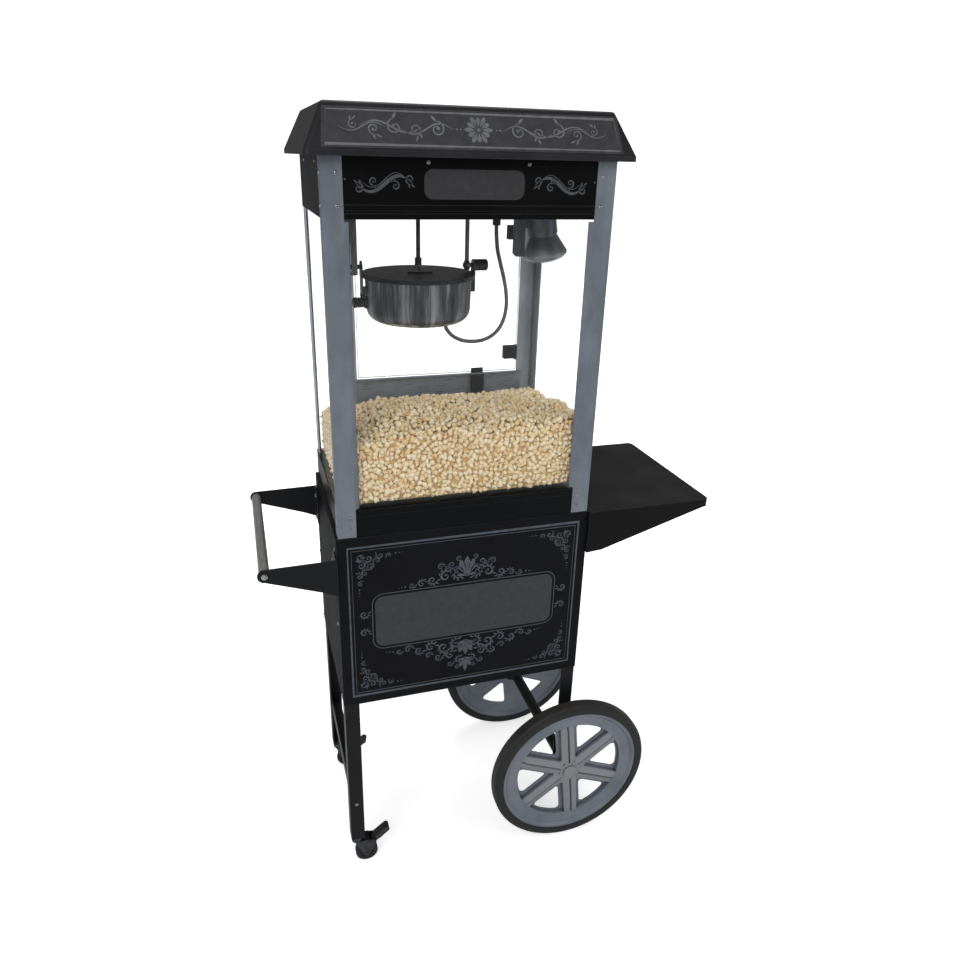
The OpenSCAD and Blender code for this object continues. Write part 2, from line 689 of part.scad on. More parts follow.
// Header box with its ceiling plate and the two-step front trim
module header() color(black_paint) at_cabinet() {
    difference() {
        block([-half_w, -half_d, header_z], [half_w, half_d, roof_z]);
        block([-inner_w, -inner_d, header_z - 1], [inner_w, inner_d, ceiling_z]);
        block([-inner_w, -inner_d, ceiling_z + sheet_t], [inner_w, inner_d, roof_z + 1]);
        for (x = switch_xs)
            translate([x, half_d, switch_z]) cube([switch_w, 10, switch_len], center = true);
        translate([shaft_x, 0, ceiling_z - 1]) cylinder(r = pin_dia / 2 + 2, h = sheet_t + 2);
        translate([lamp_x - lamp_cup_r - 13.5, lamp_y + 7, ceiling_z - 1]) cylinder(r = 5, h = sheet_t + 2);
        translate([-200, half_d + 1, switch_z]) rotate([90, 0, 0]) cylinder(r = 8, h = sheet_t + 2);
    }
    for (z = [0, 13])
        block([-half_w + front_post_w + 1, -half_d - 1.5, header_z + z],
              [half_w - front_post_w - 1, -half_d + eps, header_z + z + 9]);
}

// Rounded pyramid frustum of the roof, shrunk by g for the hollow inside
module roof_form(g) {
    r = roof_round - g;
    z0 = g > 0 ? -1 : 0;
    hull() {
        for (x = [-1, 1], y = [-1, 1]) {
            translate([x * (half_w + roof_overhang - roof_round), y * (half_d + roof_overhang - roof_round), z0])
                cylinder(r = r, h = roof_rim_h - z0 - g, $fn = 32);
            translate([x * (half_w - roof_top_inset - roof_round), y * (half_d - roof_top_inset - roof_round),
                       roof_h - roof_round])
                sphere(r = r, $fn = 32);
        }
    }
}

// Hollow roof on a flanged base frame that lies on the header
module roof() color(roof_paint) at_cabinet() translate([0, 0, roof_z]) {
    difference() {
        roof_form(0);
        roof_form(sheet_t);
    }
    difference() {
        linear_extrude(sheet_t)
            round_rect(cabinet_w + 2 * roof_overhang - 1, cabinet_d + 2 * roof_overhang - 1, roof_round - 1);
        linear_extrude(3 * sheet_t, center = true) square([cabinet_w - 60, cabinet_d - 60], center = true);
    }
}

// ---- Kettle drive and hangers -----------------------------------------------------------

gearbox_h = 32;
tongue_r = 9;
tongue_t = 3;
fork_bottom = 2;        // fork's lower end above the tilting axis
fork_r = 6.5;

module drive_motor() color(dark_steel) at_cabinet() translate([shaft_x, 0, ceiling_z + sheet_t])
    difference() {
        union() {
            translate([-32, -26, 0]) cube([64, 52, gearbox_h]);
            translate([6, 0, gearbox_h - eps]) cylinder(r = 24, h = 22);
            translate([6, 0, gearbox_h + 22 - 2 * eps]) cylinder(r = 18, h = 4);
        }
        translate([0, 0, -1]) cylinder(r = pin_dia / 2 + fit_gap, h = gearbox_h - 6);
    }

// Drive shaft with a slotted end that turns the stirrer's round tongue
module drive_shaft() color(dark_steel) at_cabinet() translate([shaft_x, 0, tilt_z]) difference() {
    union() {
        translate([0, 0, tongue_r + 3]) cylinder(d = pin_dia, h = ceiling_z - tilt_z - tongue_r + gearbox_h / 2);
        translate([0, 0, fork_bottom]) cylinder(r = fork_r, h = tongue_r + 4);
    }
    block([-tongue_t / 2 - free_gap, -fork_r - 1, fork_bottom - 1],
          [tongue_t / 2 + free_gap, fork_r + 1, tongue_r + free_gap]);
}

kettle_r = kettle_dia / 2;
lid_r = kettle_r + 5;
lid_t = 3;
rim_z = tilt_z - lid_drop - lid_t;      // top of the pot's rim
pot_z = rim_z - kettle_h;
ear_t = 3;
ear_x = lid_r + 0.5;
ear_w = 22;
hanger_gap = 6;
left_hanger_w = 20;
right_eye_x = lid_r - 11;
eye_r = 9;

// Left hanger, a folded channel with a slot; right hanger, a rod with an eye
module kettle_hangers() color(steel) at_cabinet() translate([shaft_x, 0, 0]) {
    lx = -ear_x - ear_t - hanger_gap - left_hanger_w;
    difference() {
        translate([0, 0, tilt_z - 14]) block([lx, -9, 0], [lx + left_hanger_w, 9, ceiling_z - tilt_z + 14]);
        translate([0, 0, tilt_z - 15])
            block([lx + sheet_t, -9 + sheet_t, 0], [lx + left_hanger_w - sheet_t, 10, 200]);
        block([lx + 4, -10, tilt_z - 8], [lx + 9, -5, tilt_z + 40]);
        translate([lx - 1, 0, tilt_z]) rotate([0, 90, 0])
            cylinder(r = pin_dia / 2 + fit_gap, h = left_hanger_w + 2);
    }
    difference() {
        union() {
            translate([right_eye_x, 0, tilt_z]) rotate([0, 90, 0]) cylinder(r = eye_r, h = 8, center = true);
            translate([right_eye_x, 0, tilt_z + eye_r - 2])
                cylinder(d = pin_dia, h = ceiling_z - tilt_z - eye_r + 2);
            translate([right_eye_x, 0, ceiling_z - 3]) cylinder(r = 9, h = 3);
        }
        translate([right_eye_x, 0, tilt_z]) rotate([0, 90, 0])
            cylinder(r = pin_dia / 2 + fit_gap, h = 20, center = true);
    }
}

// ---- Kettle -----------------------------------------------------------------------------

heater_h = 20;
bowl_round = 10;
pot_low_r = kettle_r - kettle_taper;

// Half section with an edge radius at the bottom and a side that leans out to the top
module pot_half(r_low, r_top, z0, z1, edge) {
    square([r_low - edge, z1 - z0]);
    polygon([[0, edge], [r_low, edge], [r_top, z1 - z0], [0, z1 - z0]]);
    translate([r_low - edge, edge]) circle(edge);
}

// Wall, closed heater base and rim
module pot_section() {
    difference() {
        union() {
            pot_half(pot_low_r, kettle_r, 0, kettle_h, kettle_round);
            translate([0, kettle_h - 3]) square([kettle_r + 3, 3]);
        }
        translate([0, heater_h])
            pot_half(pot_low_r - kettle_wall, kettle_r - kettle_wall, heater_h, kettle_h + 1, bowl_round);
        translate([-kettle_dia, -1]) square([kettle_dia, kettle_h + 2]);
    }
}

// Pot with its two ears, tilting pins and the boss of the cable under it
cable_boss_x = 62;
cable_boss_y = 30;
grip_z = rim_z - 50;
grip_seat_x = kettle_r + 2;     // flat pad that the left grip is screwed to
module kettle_pot() color(steel) at_cabinet() translate([shaft_x, 0, 0]) {
    translate([0, 0, pot_z]) rotate_extrude($fn = 72) pot_section();
    for (s = [0, 1]) mirror([s, 0, 0]) {
        along_x(ear_x, ear_x + ear_t) {
            translate([0, tilt_z]) circle(ear_w / 2);
            translate([-ear_w / 2, rim_z - 34]) square([ear_w, tilt_z - rim_z + 34]);
        }
        block([kettle_r - kettle_wall, -ear_w / 2, rim_z - 34], [ear_x + eps, ear_w / 2, rim_z - 22]);
    }
    translate([-ear_x - ear_t - hanger_gap - left_hanger_w - 4, 0, tilt_z]) rotate([0, 90, 0])
        cylinder(d = pin_dia, h = hanger_gap + left_hanger_w + 4 + eps);
    translate([right_eye_x - 7, 0, tilt_z]) rotate([0, 90, 0])
        cylinder(d = pin_dia, h = ear_x + ear_t - right_eye_x + 7 + 24);
    translate([cable_boss_x, cable_boss_y, pot_z - 8]) cylinder(r = 9, h = 8 + 3);
    translate([-grip_seat_x, 0, grip_z]) rotate([0, 90, 0]) cylinder(r = 12, h = 3.2 + kettle_wall);
}

lid_split = -lid_drop - 2;      // Y of the line between the fixed lid and its flap
lid_rim_h = 5;
flap_y = lid_split - free_gap / 2;
flap_pin_r = 1.6;
flap_tube_r = 3.2;
flap_tube_w = 27;       // the flap's own hinge tube, between the lid's two
lid_tube_w = 10;

// Whole disc of the lid with its turned-down rim
module lid_disc() {
    cylinder(r = lid_r, h = lid_t, $fn = 72);
    difference() {
        translate([0, 0, -lid_rim_h]) cylinder(r = lid_r, h = lid_rim_h + eps, $fn = 72);
        translate([0, 0, -lid_rim_h - 1]) cylinder(r = kettle_r + 3.5, h = lid_rim_h + 2, $fn = 72);
    }
}

// Round bar along the flap's hinge line, w wide round x
module on_hinge(x, w, r) translate([x - w / 2, flap_y, lid_t]) rotate([0, 90, 0]) cylinder(r = r, h = w);

// Fixed part of the lid, with the stirrer's bush, two hinge tubes and their pin
module kettle_lid() color(dark_steel) at_cabinet() translate([shaft_x, 0, rim_z]) {
    tube_x = (flap_tube_w + lid_tube_w) / 2 + free_gap;
    difference() {
        union() {
            difference() {
                lid_disc();
                block([-lid_r - 1, -lid_r - 1, -lid_rim_h - 1], [lid_r + 1, lid_split, lid_t + 1]);
            }
            translate([0, 0, -6]) cylinder(r = 9, h = 6 + lid_t);
            translate([0, 0, lid_t - eps]) cylinder(r = 8, h = 1);
        }
        translate([0, 0, -7]) cylinder(d = pin_dia + 2 * fit_gap, h = 20);
        on_hinge(0, flap_tube_w + 2 * free_gap, flap_tube_r + free_gap);
    }
    for (s = [-1, 1]) on_hinge(s * tube_x, lid_tube_w, flap_tube_r);
    on_hinge(0, 2 * tube_x, flap_pin_r);
}

// Front flap of the lid, which lifts about the hinge pin
module lid_flap() color(dark_steel) at_cabinet() translate([shaft_x, 0, rim_z]) difference() {
    union() {
        intersection() {
            lid_disc();
            block([-lid_r - 1, -lid_r - 1, -lid_rim_h - 1], [lid_r + 1, lid_split - free_gap, lid_t + 1]);
        }
        on_hinge(0, flap_tube_w, flap_tube_r);
    }
    on_hinge(0, flap_tube_w + 2, flap_pin_r + fit_gap);
    for (s = [-1, 1])
        on_hinge(s * ((flap_tube_w + lid_tube_w) / 2 + free_gap), lid_tube_w + 2 * free_gap,
                 flap_tube_r + free_gap);
}

// Stirrer: tongue, rod and a curved two-arm blade just above the heated floor
module stirrer() color(steel) at_cabinet() translate([shaft_x, 0, 0]) {
    along_x(-tongue_t / 2, tongue_t / 2) {
        translate([0, tilt_z]) circle(tongue_r);
        translate([-pin_dia / 2 + 0.4, tilt_z - lid_drop]) square([pin_dia - 0.8, lid_drop]);
    }
    translate([0, 0, pot_z + heater_h + 2]) cylinder(d = pin_dia, h = tilt_z - lid_drop + 2 - pot_z - heater_h - 2);
    translate([0, 0, pot_z + heater_h + 1.5]) {
        cylinder(r = 10, h = 10);
        for (a = [0, 180]) rotate(a) translate([0, 34, 0])
            difference() {
                cylinder(r = 36, h = 5);
                translate([0, 0, -1]) cylinder(r = 28, h = 7);
                block([-40, -40, -1], [0, 40, 7]);
            }
    }
}

// Black grip low on the kettle's left side and ribbed knob on the right tilting pin
module kettle_grips() color(black_plastic) at_cabinet() translate([shaft_x, 0, 0]) {
    translate([-grip_seat_x, 0, grip_z]) rotate([0, -90, 0]) {
        cylinder(r = 8, h = 20);
        for (x = [0, 5, 10, 15]) translate([0, 0, x]) cylinder(r = 10, h = 3);
        translate([0, 0, 20]) scale([1, 1, 0.4]) sphere(r = 10);
    }
    difference() {
        translate([ear_x + ear_t + 1, 0, tilt_z]) rotate([0, 90, 0]) {
            cylinder(r = 9, h = 25);
            for (x = [2, 8, 14, 20]) translate([0, 0, x]) cylinder(r = 11, h = 3);
        }
        translate([ear_x + ear_t - 1, 0, tilt_z]) rotate([0, 90, 0])
            cylinder(d = pin_dia + 2 * fit_gap, h = 25 + fit_gap);
    }
}

// Route of the kettle's cable at the usual sizes: cabinet's X and Y, Z above the header's edge.
// Its ends are carried to the boss and the plug wherever other sizes put them.
cable_dia = 8;
cable_points = [
    [5, 30, -206], [5, 30, -215], [9, 32, -226], [22, 37, -240], [42, 43, -251], [64, 48, -256],
    [88, 52, -256], [110, 55, -249], [128, 57, -234], [139, 58, -212], [143, 58, -186],
    [141, 58, -158], [135, 58, -130], [127, 58, -102], [120, 58, -76], [117, 58, -52],
    [116, 58, -36], [116, 58, -28]
];

cable_last = len(cable_points) - 1;
cable_start = [cable_boss_x - kettle_left, cable_boss_y, pot_z - 8];
cable_end = [socket_x, socket_y, header_z - 28];
function cable_route() = [for (i = [0 : cable_last])
    cable_points[i] + (1 - i / cable_last) * (cable_start - cable_points[0])
        + (i / cable_last) * (cable_end - cable_points[cable_last])];

function unit(v) = v / norm(v);
function side_of(t) = unit(cross(t, [0, 1, 0]));
function ring(p, t, r, n) =
    [for (k = [0 : n - 1]) p + r * (cos(360 * k / n) * side_of(t) + sin(360 * k / n) * cross(side_of(t), t))];

// Closed tube with n sides along a list of points
module tube(pts, r, n) {
    m = len(pts);
    dirs = [for (i = [0 : m - 1]) unit(pts[min(i + 1, m - 1)] - pts[max(i - 1, 0)])];
    rings = [for (i = [0 : m - 1]) each ring(pts[i], dirs[i], r, n)];
    sides = [for (i = [0 : m - 2], k = [0 : n - 1])
        [i * n + k, i * n + (k + 1) % n, (i + 1) * n + (k + 1) % n, (i + 1) * n + k]];
    polyhedron(rings, concat(
        [[for (k = [n - 1 : -1 : 0]) k]], sides, [[for (k = [0 : n - 1]) (m - 1) * n + k]]), convexity = 4);
}

module kettle_cable() color(cord_grey) at_cabinet()
    tube(cable_route(), cable_dia / 2, 10);

// Black socket under the ceiling with the cable's plug in it
module cable_socket() color(black_plastic) at_cabinet() translate([socket_x, socket_y, 0]) {
    translate([0, 0, header_z - 10]) cylinder(r = 14, h = ceiling_recess + 10);
    translate([0, 0, header_z - 28]) cylinder(r = 8, h = 20);
}

// ---- Lamp, switches and gland -----------------------------------------------------------

lamp_seat = 16;         // cup's closed end above the header's lower edge
lamp_cup_h = 52;
cap_r = 13;

// Places the children on the lamp's tilted axis
module on_lamp() translate([lamp_x, lamp_y, header_z]) rotate([0, -lamp_tilt, 0]) children();

// Plate that hangs from the ceiling and the spun cup it carries, with the socket inside
module lamp_bracket() color(dark_steel) at_cabinet() {
    x0 = lamp_x - lamp_cup_r - 25.5;
    along_y(lamp_y - 1, lamp_y + 1) difference() {
        union() {
            translate([x0, header_z - 78]) square([24, ceiling_z - header_z + 78]);
            translate([x0 + 20, header_z - 26]) square([10, 22]);
        }
        translate([x0, header_z - 78]) rotate(45) square([9, 9], center = true);
    }
    block([x0, lamp_y - 14, ceiling_z - 2], [x0 + 24, lamp_y + 14, ceiling_z]);
    on_lamp() rotate_extrude() {
        translate([0, lamp_seat - sheet_t - lamp_cup_h]) difference() {
            square([lamp_cup_r, lamp_cup_h + sheet_t]);
            translate([-1, -1]) square([lamp_cup_r - sheet_t + 1, lamp_cup_h + 1]);
        }
        translate([cap_r + free_gap, lamp_seat - 22]) square([4, 22]);
    }
}

// Reflector lamp: screw cap, neck, flared body and domed face
module heat_lamp() color(bulb_glass) at_cabinet() on_lamp() rotate_extrude() {
    top = lamp_seat - sheet_t - free_gap;
    face_r = lamp_r - 6;
    dome_r = 2 * lamp_r;
    translate([0, top - 24]) square([cap_r, 24]);
    polygon([[0, top - 20], [cap_r, top - 22], [lamp_cup_r - 4, -32], [lamp_cup_r - 2, -40],
             [lamp_r, -72], [lamp_r, -76], [face_r, -82], [0, -82]]);
    intersection() {
        translate([0, sqrt(dome_r * dome_r - face_r * face_r) - 82]) circle(dome_r);
        translate([0, -100]) square([face_r, 20]);
    }
}

// Housings of the rocker switches behind the header's rear wall
module switch_housings() color(black_plastic) at_cabinet() for (x = switch_xs) difference() {
    union() {
        block([x - switch_w / 2, inner_d - 16, switch_z - switch_len / 2],
              [x + switch_w / 2, half_d + 1.5, switch_z + switch_len / 2]);
        block([x - switch_w / 2 - 2, half_d, switch_z - switch_len / 2 - 2],
              [x + switch_w / 2 + 2, half_d + 1.5, switch_z + switch_len / 2 + 2]);
    }
    block([x - switch_w / 2 + 1.5, half_d - 11, switch_z - switch_len / 2 + 1.5],
          [x + switch_w / 2 - 1.5, half_d + 3, switch_z + switch_len / 2 - 1.5]);
    translate([x, half_d - 3, switch_z]) rotate([0, 90, 0]) cylinder(r = 1.55, h = switch_w - 0.6, center = true);
}

// Rocker with a shallow V-shaped face, tipped about its own stub pins
rocker_len = switch_len - 5.6;
rocker_tip = -8;
module rocker(x) color(black_plastic) at_cabinet() translate([x, half_d - 3, switch_z]) {
    l = rocker_len / 2;
    w = switch_w / 2 - 1.8;
    rotate([rocker_tip, 0, 0]) along_x(-w, w)
        polygon([[-4, -6], [-4, 6], [2, l], [6.2, l], [4.8, 0], [6.2, -l], [2, -l]]);
    rotate([0, 90, 0]) cylinder(r = 1.5, h = switch_w - 1.2, center = true);
}

module switch_heat() rocker(switch_xs[0]);
module switch_motor() rocker(switch_xs[1]);
module switch_light() rocker(switch_xs[2]);

// Gland of the mains lead at the rear of the header
module mains_gland() color(black_plastic) at_cabinet()
    translate([-200, half_d, switch_z]) rotate([-90, 0, 0]) difference() {
        union() {
            translate([0, 0, -10]) cylinder(r = 7.9, h = 12);
            cylinder(r = 12, h = 5);
            translate([0, 0, 5 - eps]) cylinder(r = 9.5, h = 9);
        }
        translate([0, 0, -11]) cylinder(r = 3.6, h = 30);
    }

// Heaped popcorn as one plain solid with a crowned top
module popcorn_heap() color(popcorn_cream) at_cabinet() {
    y = glass_y - glass_t - free_gap;
    x = glass_x - glass_t - free_gap;
    along_x(-x, x) polygon([[-y, deck_z + free_gap], [-y, glass_z + heap_h - 16], [-y + 50, glass_z + heap_h - 4],
        [-10, glass_z + heap_h], [70, glass_z + heap_h - 22], [y - 20, glass_z + heap_h - 46],
        [y - 1, glass_z + heap_h - 50], [y - 1, deck_z + free_gap]]);
}

leg_front_left();
leg_rear_left();
leg_front_right();
leg_rear_right();
cart_front_panel();
cart_left_panel();
cart_right_panel();
cart_top();
cart_floor();
leg_brace();
side_shelf();
handle_arms();
push_bar();
cart_bolts();
axle();
wheel_front();
tyre_front();
wheel_rear();
tyre_rear();
caster_fork_front();
caster_wheel_front();
caster_brake_front();
caster_fork_rear();
caster_wheel_rear();
caster_brake_rear();
base_tray();
kernel_deck();
crumb_drawer();
post_front_left();
post_front_right();
post_rear_left();
post_rear_right();
front_glass();
side_glasses();
rear_pane();
door_stile();
rear_sill();
door_catch();
rear_door();
door_fittings();
header();
roof();
drive_motor();
drive_shaft();
kettle_hangers();
kettle_pot();
kettle_lid();
lid_flap();
stirrer();
kettle_grips();
kettle_cable();
cable_socket();
lamp_bracket();
heat_lamp();
switch_housings();
switch_heat();
switch_motor();
switch_light();
mains_gland();
popcorn_heap();
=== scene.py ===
from math import atan2, cos, hypot, pi, radians, sin

import bmesh
import bpy
from mathutils import Matrix, Vector, noise


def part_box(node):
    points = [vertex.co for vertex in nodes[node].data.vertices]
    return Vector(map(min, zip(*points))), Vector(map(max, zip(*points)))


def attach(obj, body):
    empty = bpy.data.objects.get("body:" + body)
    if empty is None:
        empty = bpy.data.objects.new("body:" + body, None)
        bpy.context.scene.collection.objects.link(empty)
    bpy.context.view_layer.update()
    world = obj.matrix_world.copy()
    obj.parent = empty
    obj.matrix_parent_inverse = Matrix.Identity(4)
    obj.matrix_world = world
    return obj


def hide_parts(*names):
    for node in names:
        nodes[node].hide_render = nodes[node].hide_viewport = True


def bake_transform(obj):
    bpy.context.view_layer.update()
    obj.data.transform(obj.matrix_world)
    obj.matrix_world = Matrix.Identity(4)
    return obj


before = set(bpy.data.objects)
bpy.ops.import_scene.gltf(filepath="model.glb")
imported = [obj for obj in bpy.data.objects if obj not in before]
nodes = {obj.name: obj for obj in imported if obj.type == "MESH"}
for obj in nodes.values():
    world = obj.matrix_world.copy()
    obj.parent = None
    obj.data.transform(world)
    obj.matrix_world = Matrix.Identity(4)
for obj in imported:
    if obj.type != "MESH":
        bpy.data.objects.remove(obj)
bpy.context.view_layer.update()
CART = "cart_and_cabinet"

# ---- Camera ----------------------------------------------
# A standing person's view from the front, half a metre left of the cart, looking down a little.

YAW, PITCH, ROLL = 0.303321, -0.394762, 0.023881        # radians
CAMERA_SPOT = (-0.460088, -1.445752, 1.493628)
FOCAL_MM, SENSOR_MM = 28.638, 36
LENS_SHIFT = (0.00848, -0.00608)

ahead = Vector((sin(YAW) * cos(PITCH), cos(YAW) * cos(PITCH), sin(PITCH)))
level = ahead.cross(Vector((0, 0, 1))).normalized()
above = level.cross(ahead)
cam_x = cos(ROLL) * level + sin(ROLL) * above
cam_y = cos(ROLL) * above - sin(ROLL) * level
camera_data = bpy.data.cameras.new("camera")
camera_data.sensor_width = SENSOR_MM
camera_data.lens = FOCAL_MM
camera_data.shift_x, camera_data.shift_y = LENS_SHIFT
camera_data.clip_end = 40
camera = bpy.data.objects.new("camera", camera_data)
camera.matrix_world = Matrix.Translation(CAMERA_SPOT) @ Matrix((cam_x, cam_y, -ahead)).transposed().to_4x4()
bpy.context.scene.collection.objects.link(camera)
bpy.context.scene.camera = camera

# ---- Kettle cable ----------------------------------------
# Heat-proof flex in grey silicone, from the boss under the kettle to the socket in the ceiling.
# It hangs in one slack loop, long enough for the kettle to tip.

CABLE_DIA = 0.008
CABLE_ROUTE = [
    (-61.5, 30, 1190), (-61.5, 30, 1181), (-57.5, 32, 1170), (-44.5, 37, 1156), (-24.5, 43, 1145),
    (-2.5, 48, 1140), (21.5, 52, 1140), (43.5, 55, 1147), (61.5, 57, 1162), (72.5, 58, 1184),
    (76.5, 58, 1210), (74.5, 58, 1238), (68.5, 58, 1266), (60.5, 58, 1294), (53.5, 58, 1320),
    (50.5, 58, 1344), (49.5, 58, 1360), (49.5, 58, 1368)]


def smooth_path(points, steps):
    """Points of a Catmull-Rom curve through the given ones."""
    pts = [Vector(p) for p in points]
    pts = [2 * pts[0] - pts[1]] + pts + [2 * pts[-1] - pts[-2]]
    out = []
    for a, b, c, d in zip(pts, pts[1:], pts[2:], pts[3:]):
        for i in range(steps):
            t = i / steps
            out.append(0.5 * (2 * b + (c - a) * t + (2 * a - 5 * b + 4 * c - d) * t * t
                              + (3 * b - a - 3 * c + d) * t ** 3))
    return out + [pts[-2]]


def new_piece(name, bm, material=None, smooth=True, outward=True):
    """Turns a bmesh into a linked object, with outward faces unless it is an open sheet."""
    if outward:
        bmesh.ops.recalc_face_normals(bm, faces=bm.faces)
    mesh = bpy.data.meshes.new(name)
    bm.to_mesh(mesh)
    bm.free()
    mesh.polygons.foreach_set("use_smooth", [smooth] * len(mesh.polygons))
    piece = bpy.data.objects.new(name, mesh)
    bpy.context.scene.collection.objects.link(piece)
    if material:
        mesh.materials.append(material)
    return piece


def skin(bm, rows, closed=False):
    """Closed shell over rows of points that each run round the piece."""
    n = len(rows[0])
    for r, s in zip(rows, rows[1:] + (rows[:1] if closed else [])):
        for k in range(n):
            bm.faces.new((r[k], r[(k + 1) % n], s[(k + 1) % n], s[k]))
    if not closed:
        bm.faces.new(rows[0])
        bm.faces.new(rows[-1])


def round_tube(name, path, radius, sides):
    """Closed tube along a path with even rings."""
    bm = bmesh.new()
    across = Vector((0, 1, 0))
    rings = []
    for i, p in enumerate(path):
        along = (path[min(i + 1, len(path) - 1)] - path[max(i - 1, 0)]).normalized()
        side = along.cross(across).normalized()
        across = side.cross(along)
        rings.append([bm.verts.new(p + radius * (cos(a) * side + sin(a) * across))
                      for a in (2 * pi * k / sides for k in range(sides))])
    skin(bm, rings)
    return new_piece(name, bm)


def plug(made, **inputs):
    """Links or sets a node's inputs, each named by its label, or by i and its number.

    A node given as a value stands for its first output.
    """
    for key, value in inputs.items():
        numbered = key[0] == "i" and key[1:].isdigit()
        socket = made.inputs[int(key[1:]) if numbered else key.replace("_", " ")]
        if isinstance(value, bpy.types.Node):
            value = value.outputs[0]
        if isinstance(value, bpy.types.NodeSocket):
            made.id_data.links.new(value, socket)
        else:
            socket.default_value = value
    return made


def wire(tree, kind, settings=None, **inputs):
    """Adds a node with its settings and inputs."""
    made = tree.nodes.new(kind)
    for key, value in (settings or {}).items():
        setattr(made, key, value)
    return plug(made, **inputs)


def new_finish(name):
    """Empty node material: its tree, object coordinates and surface shader."""
    material = bpy.data.materials.new(name)
    material.use_nodes = True
    tree = material.node_tree
    place = wire(tree, "ShaderNodeTexCoord").outputs["Object"]
    return material, tree, place, tree.nodes["Principled BSDF"]


def rgb(r, g, b):
    """Linear colour with alpha from 8-bit screen values."""
    def lin(c):
        c /= 255
        return c / 12.92 if c <= 0.04045 else ((c + 0.055) / 1.055) ** 2.4
    return (lin(r), lin(g), lin(b), 1)


def cloud(tree, place, scale, detail, **more):
    """Cloudy noise."""
    return wire(tree, "ShaderNodeTexNoise", Vector=place, Scale=scale, Detail=detail, **more)


def colour_ramp(tree, fac, *stops):
    """Colours at positions along a factor."""
    ramp = wire(tree, "ShaderNodeValToRGB", Fac=fac)
    elements = ramp.color_ramp.elements
    for element, stop in zip(elements, (stops[0], stops[-1])):
        element.position, element.color = stop
    for position, colour in stops[1:-1]:
        elements.new(position).color = colour
    return ramp


def mottle(tree, place, scale, detail, low, high, stretch=(1, 1, 1)):
    """Blend of two colours by cloudy noise, with optional stretch, and the noise itself."""
    vector = wire(tree, "ShaderNodeMapping", Vector=place, Scale=stretch)
    fac = cloud(tree, vector, scale, detail, Roughness=0.6)
    return colour_ramp(tree, fac, (0.3, low), (0.7, high)), fac


def ranged(tree, value, from_low, from_high, low, high, way="LINEAR"):
    """A value mapped from one range to another and held at its ends."""
    return wire(tree, "ShaderNodeMapRange", {"interpolation_type": way}, Value=value,
                i1=from_low, i2=from_high, i3=low, i4=high)


def spread(tree, fac, low, high):
    """A factor mapped to a range."""
    return ranged(tree, fac, 0, 1, low, high)


cable_path = [p / 1000 for p in smooth_path(CABLE_ROUTE, 6)]
cable_length = sum((b - a).length for a, b in zip(cable_path, cable_path[1:]))
cable = round_tube("kettle_flex", cable_path, CABLE_DIA / 2, 14)
silicone, tree, place, shader = new_finish("grey_silicone")
colour, fac = mottle(tree, place, 160, 3, rgb(78, 81, 82), rgb(94, 97, 97))
plug(shader, Base_Color=colour, Roughness=spread(tree, fac, 0.42, 0.58))
cable.data.materials.append(silicone)
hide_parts("kettle_cable")
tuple(cable_path[0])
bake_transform(cable)

# ---- Studio ----------------------------------------------
# White floor that keeps a soft shadow, white surround, three large soft lamps.


def calc(tree, operation, *values):
    """Result of one arithmetic node."""
    numbered = {f"i{k}": value for k, value in enumerate(values)}
    return wire(tree, "ShaderNodeMath", {"operation": operation}, **numbered)


def length_of(tree, vector):
    return wire(tree, "ShaderNodeVectorMath", {"operation": "LENGTH"}, i0=vector).outputs["Value"]


world = bpy.data.worlds.new("studio_air")
bpy.context.scene.world = world
world.use_nodes = True
tree = world.node_tree
tree.nodes.clear()
path = wire(tree, "ShaderNodeLightPath").outputs
seen = calc(tree, "MAXIMUM", path["Is Camera Ray"], path["Is Transmission Ray"])
dim = spread(tree, path["Is Glossy Ray"], 0.68, 0.2)
strength = wire(tree, "ShaderNodeMix", i0=seen, i2=dim, i3=1.25)
air = wire(tree, "ShaderNodeBackground", Color=(1, 1, 1, 1), Strength=strength)
wire(tree, "ShaderNodeOutputWorld", Surface=air)

bm = bmesh.new()
bmesh.ops.create_circle(bm, cap_ends=True, segments=64, radius=9)
floor_paint, tree, place, shader = new_finish("floor_paint")
seen = wire(tree, "ShaderNodeLightPath").outputs["Is Camera Ray"]
glow = calc(tree, "MULTIPLY", ranged(tree, length_of(tree, place), 0.7, 2.2, 0.45, 1.1), seen)
plug(shader, Base_Color=(0.8, 0.8, 0.8, 1), Roughness=0.9, Specular_IOR_Level=0.0,
     Emission_Color=(1, 1, 1, 1), Emission_Strength=glow)
floor = new_piece("floor", bm, floor_paint, smooth=False)

for name, spot, aim, size, power in (
        ("key_lamp", (-1.9, -2.5, 2.9), (0, 0, 0.9), 1.8, 64),
        ("fill_lamp", (2.4, -2.2, 2.2), (0, 0, 0.9), 1.8, 30),
        ("top_lamp", (0.2, 0.9, 3.4), (0, 0, 0.8), 1.6, 28)):
    data = bpy.data.lights.new(name, "AREA")
    data.size = size
    data.energy = power
    lamp = bpy.data.objects.new(name, data)
    lamp.location = spot
    lamp.rotation_euler = (Vector(aim) - Vector(spot)).to_track_quat("-Z", "Y").to_euler()
    bpy.context.scene.collection.objects.link(lamp)
bpy.context.scene.view_settings.view_transform = "Standard"

# ---- Cart frame ------------------------------------------
# Folded steel angles and plates, powder coated black after welding: legs, top, floor, brace,
# handle arms and axle tube. The coat is satin, faintly grained, dusty on what faces up.


def blend(tree, fac, base, over, way="MIX"):
    """Colour laid over another by a factor."""
    settings = {"data_type": "RGBA", "blend_type": way}
    return wire(tree, "ShaderNodeMix", settings, i0=fac, i6=base, i7=over).outputs[2]


def rounded(tree, radius):
    """Normal that rounds sharp edges by a small radius."""
    return wire(tree, "ShaderNodeBevel", {"samples": 4}, Radius=radius)


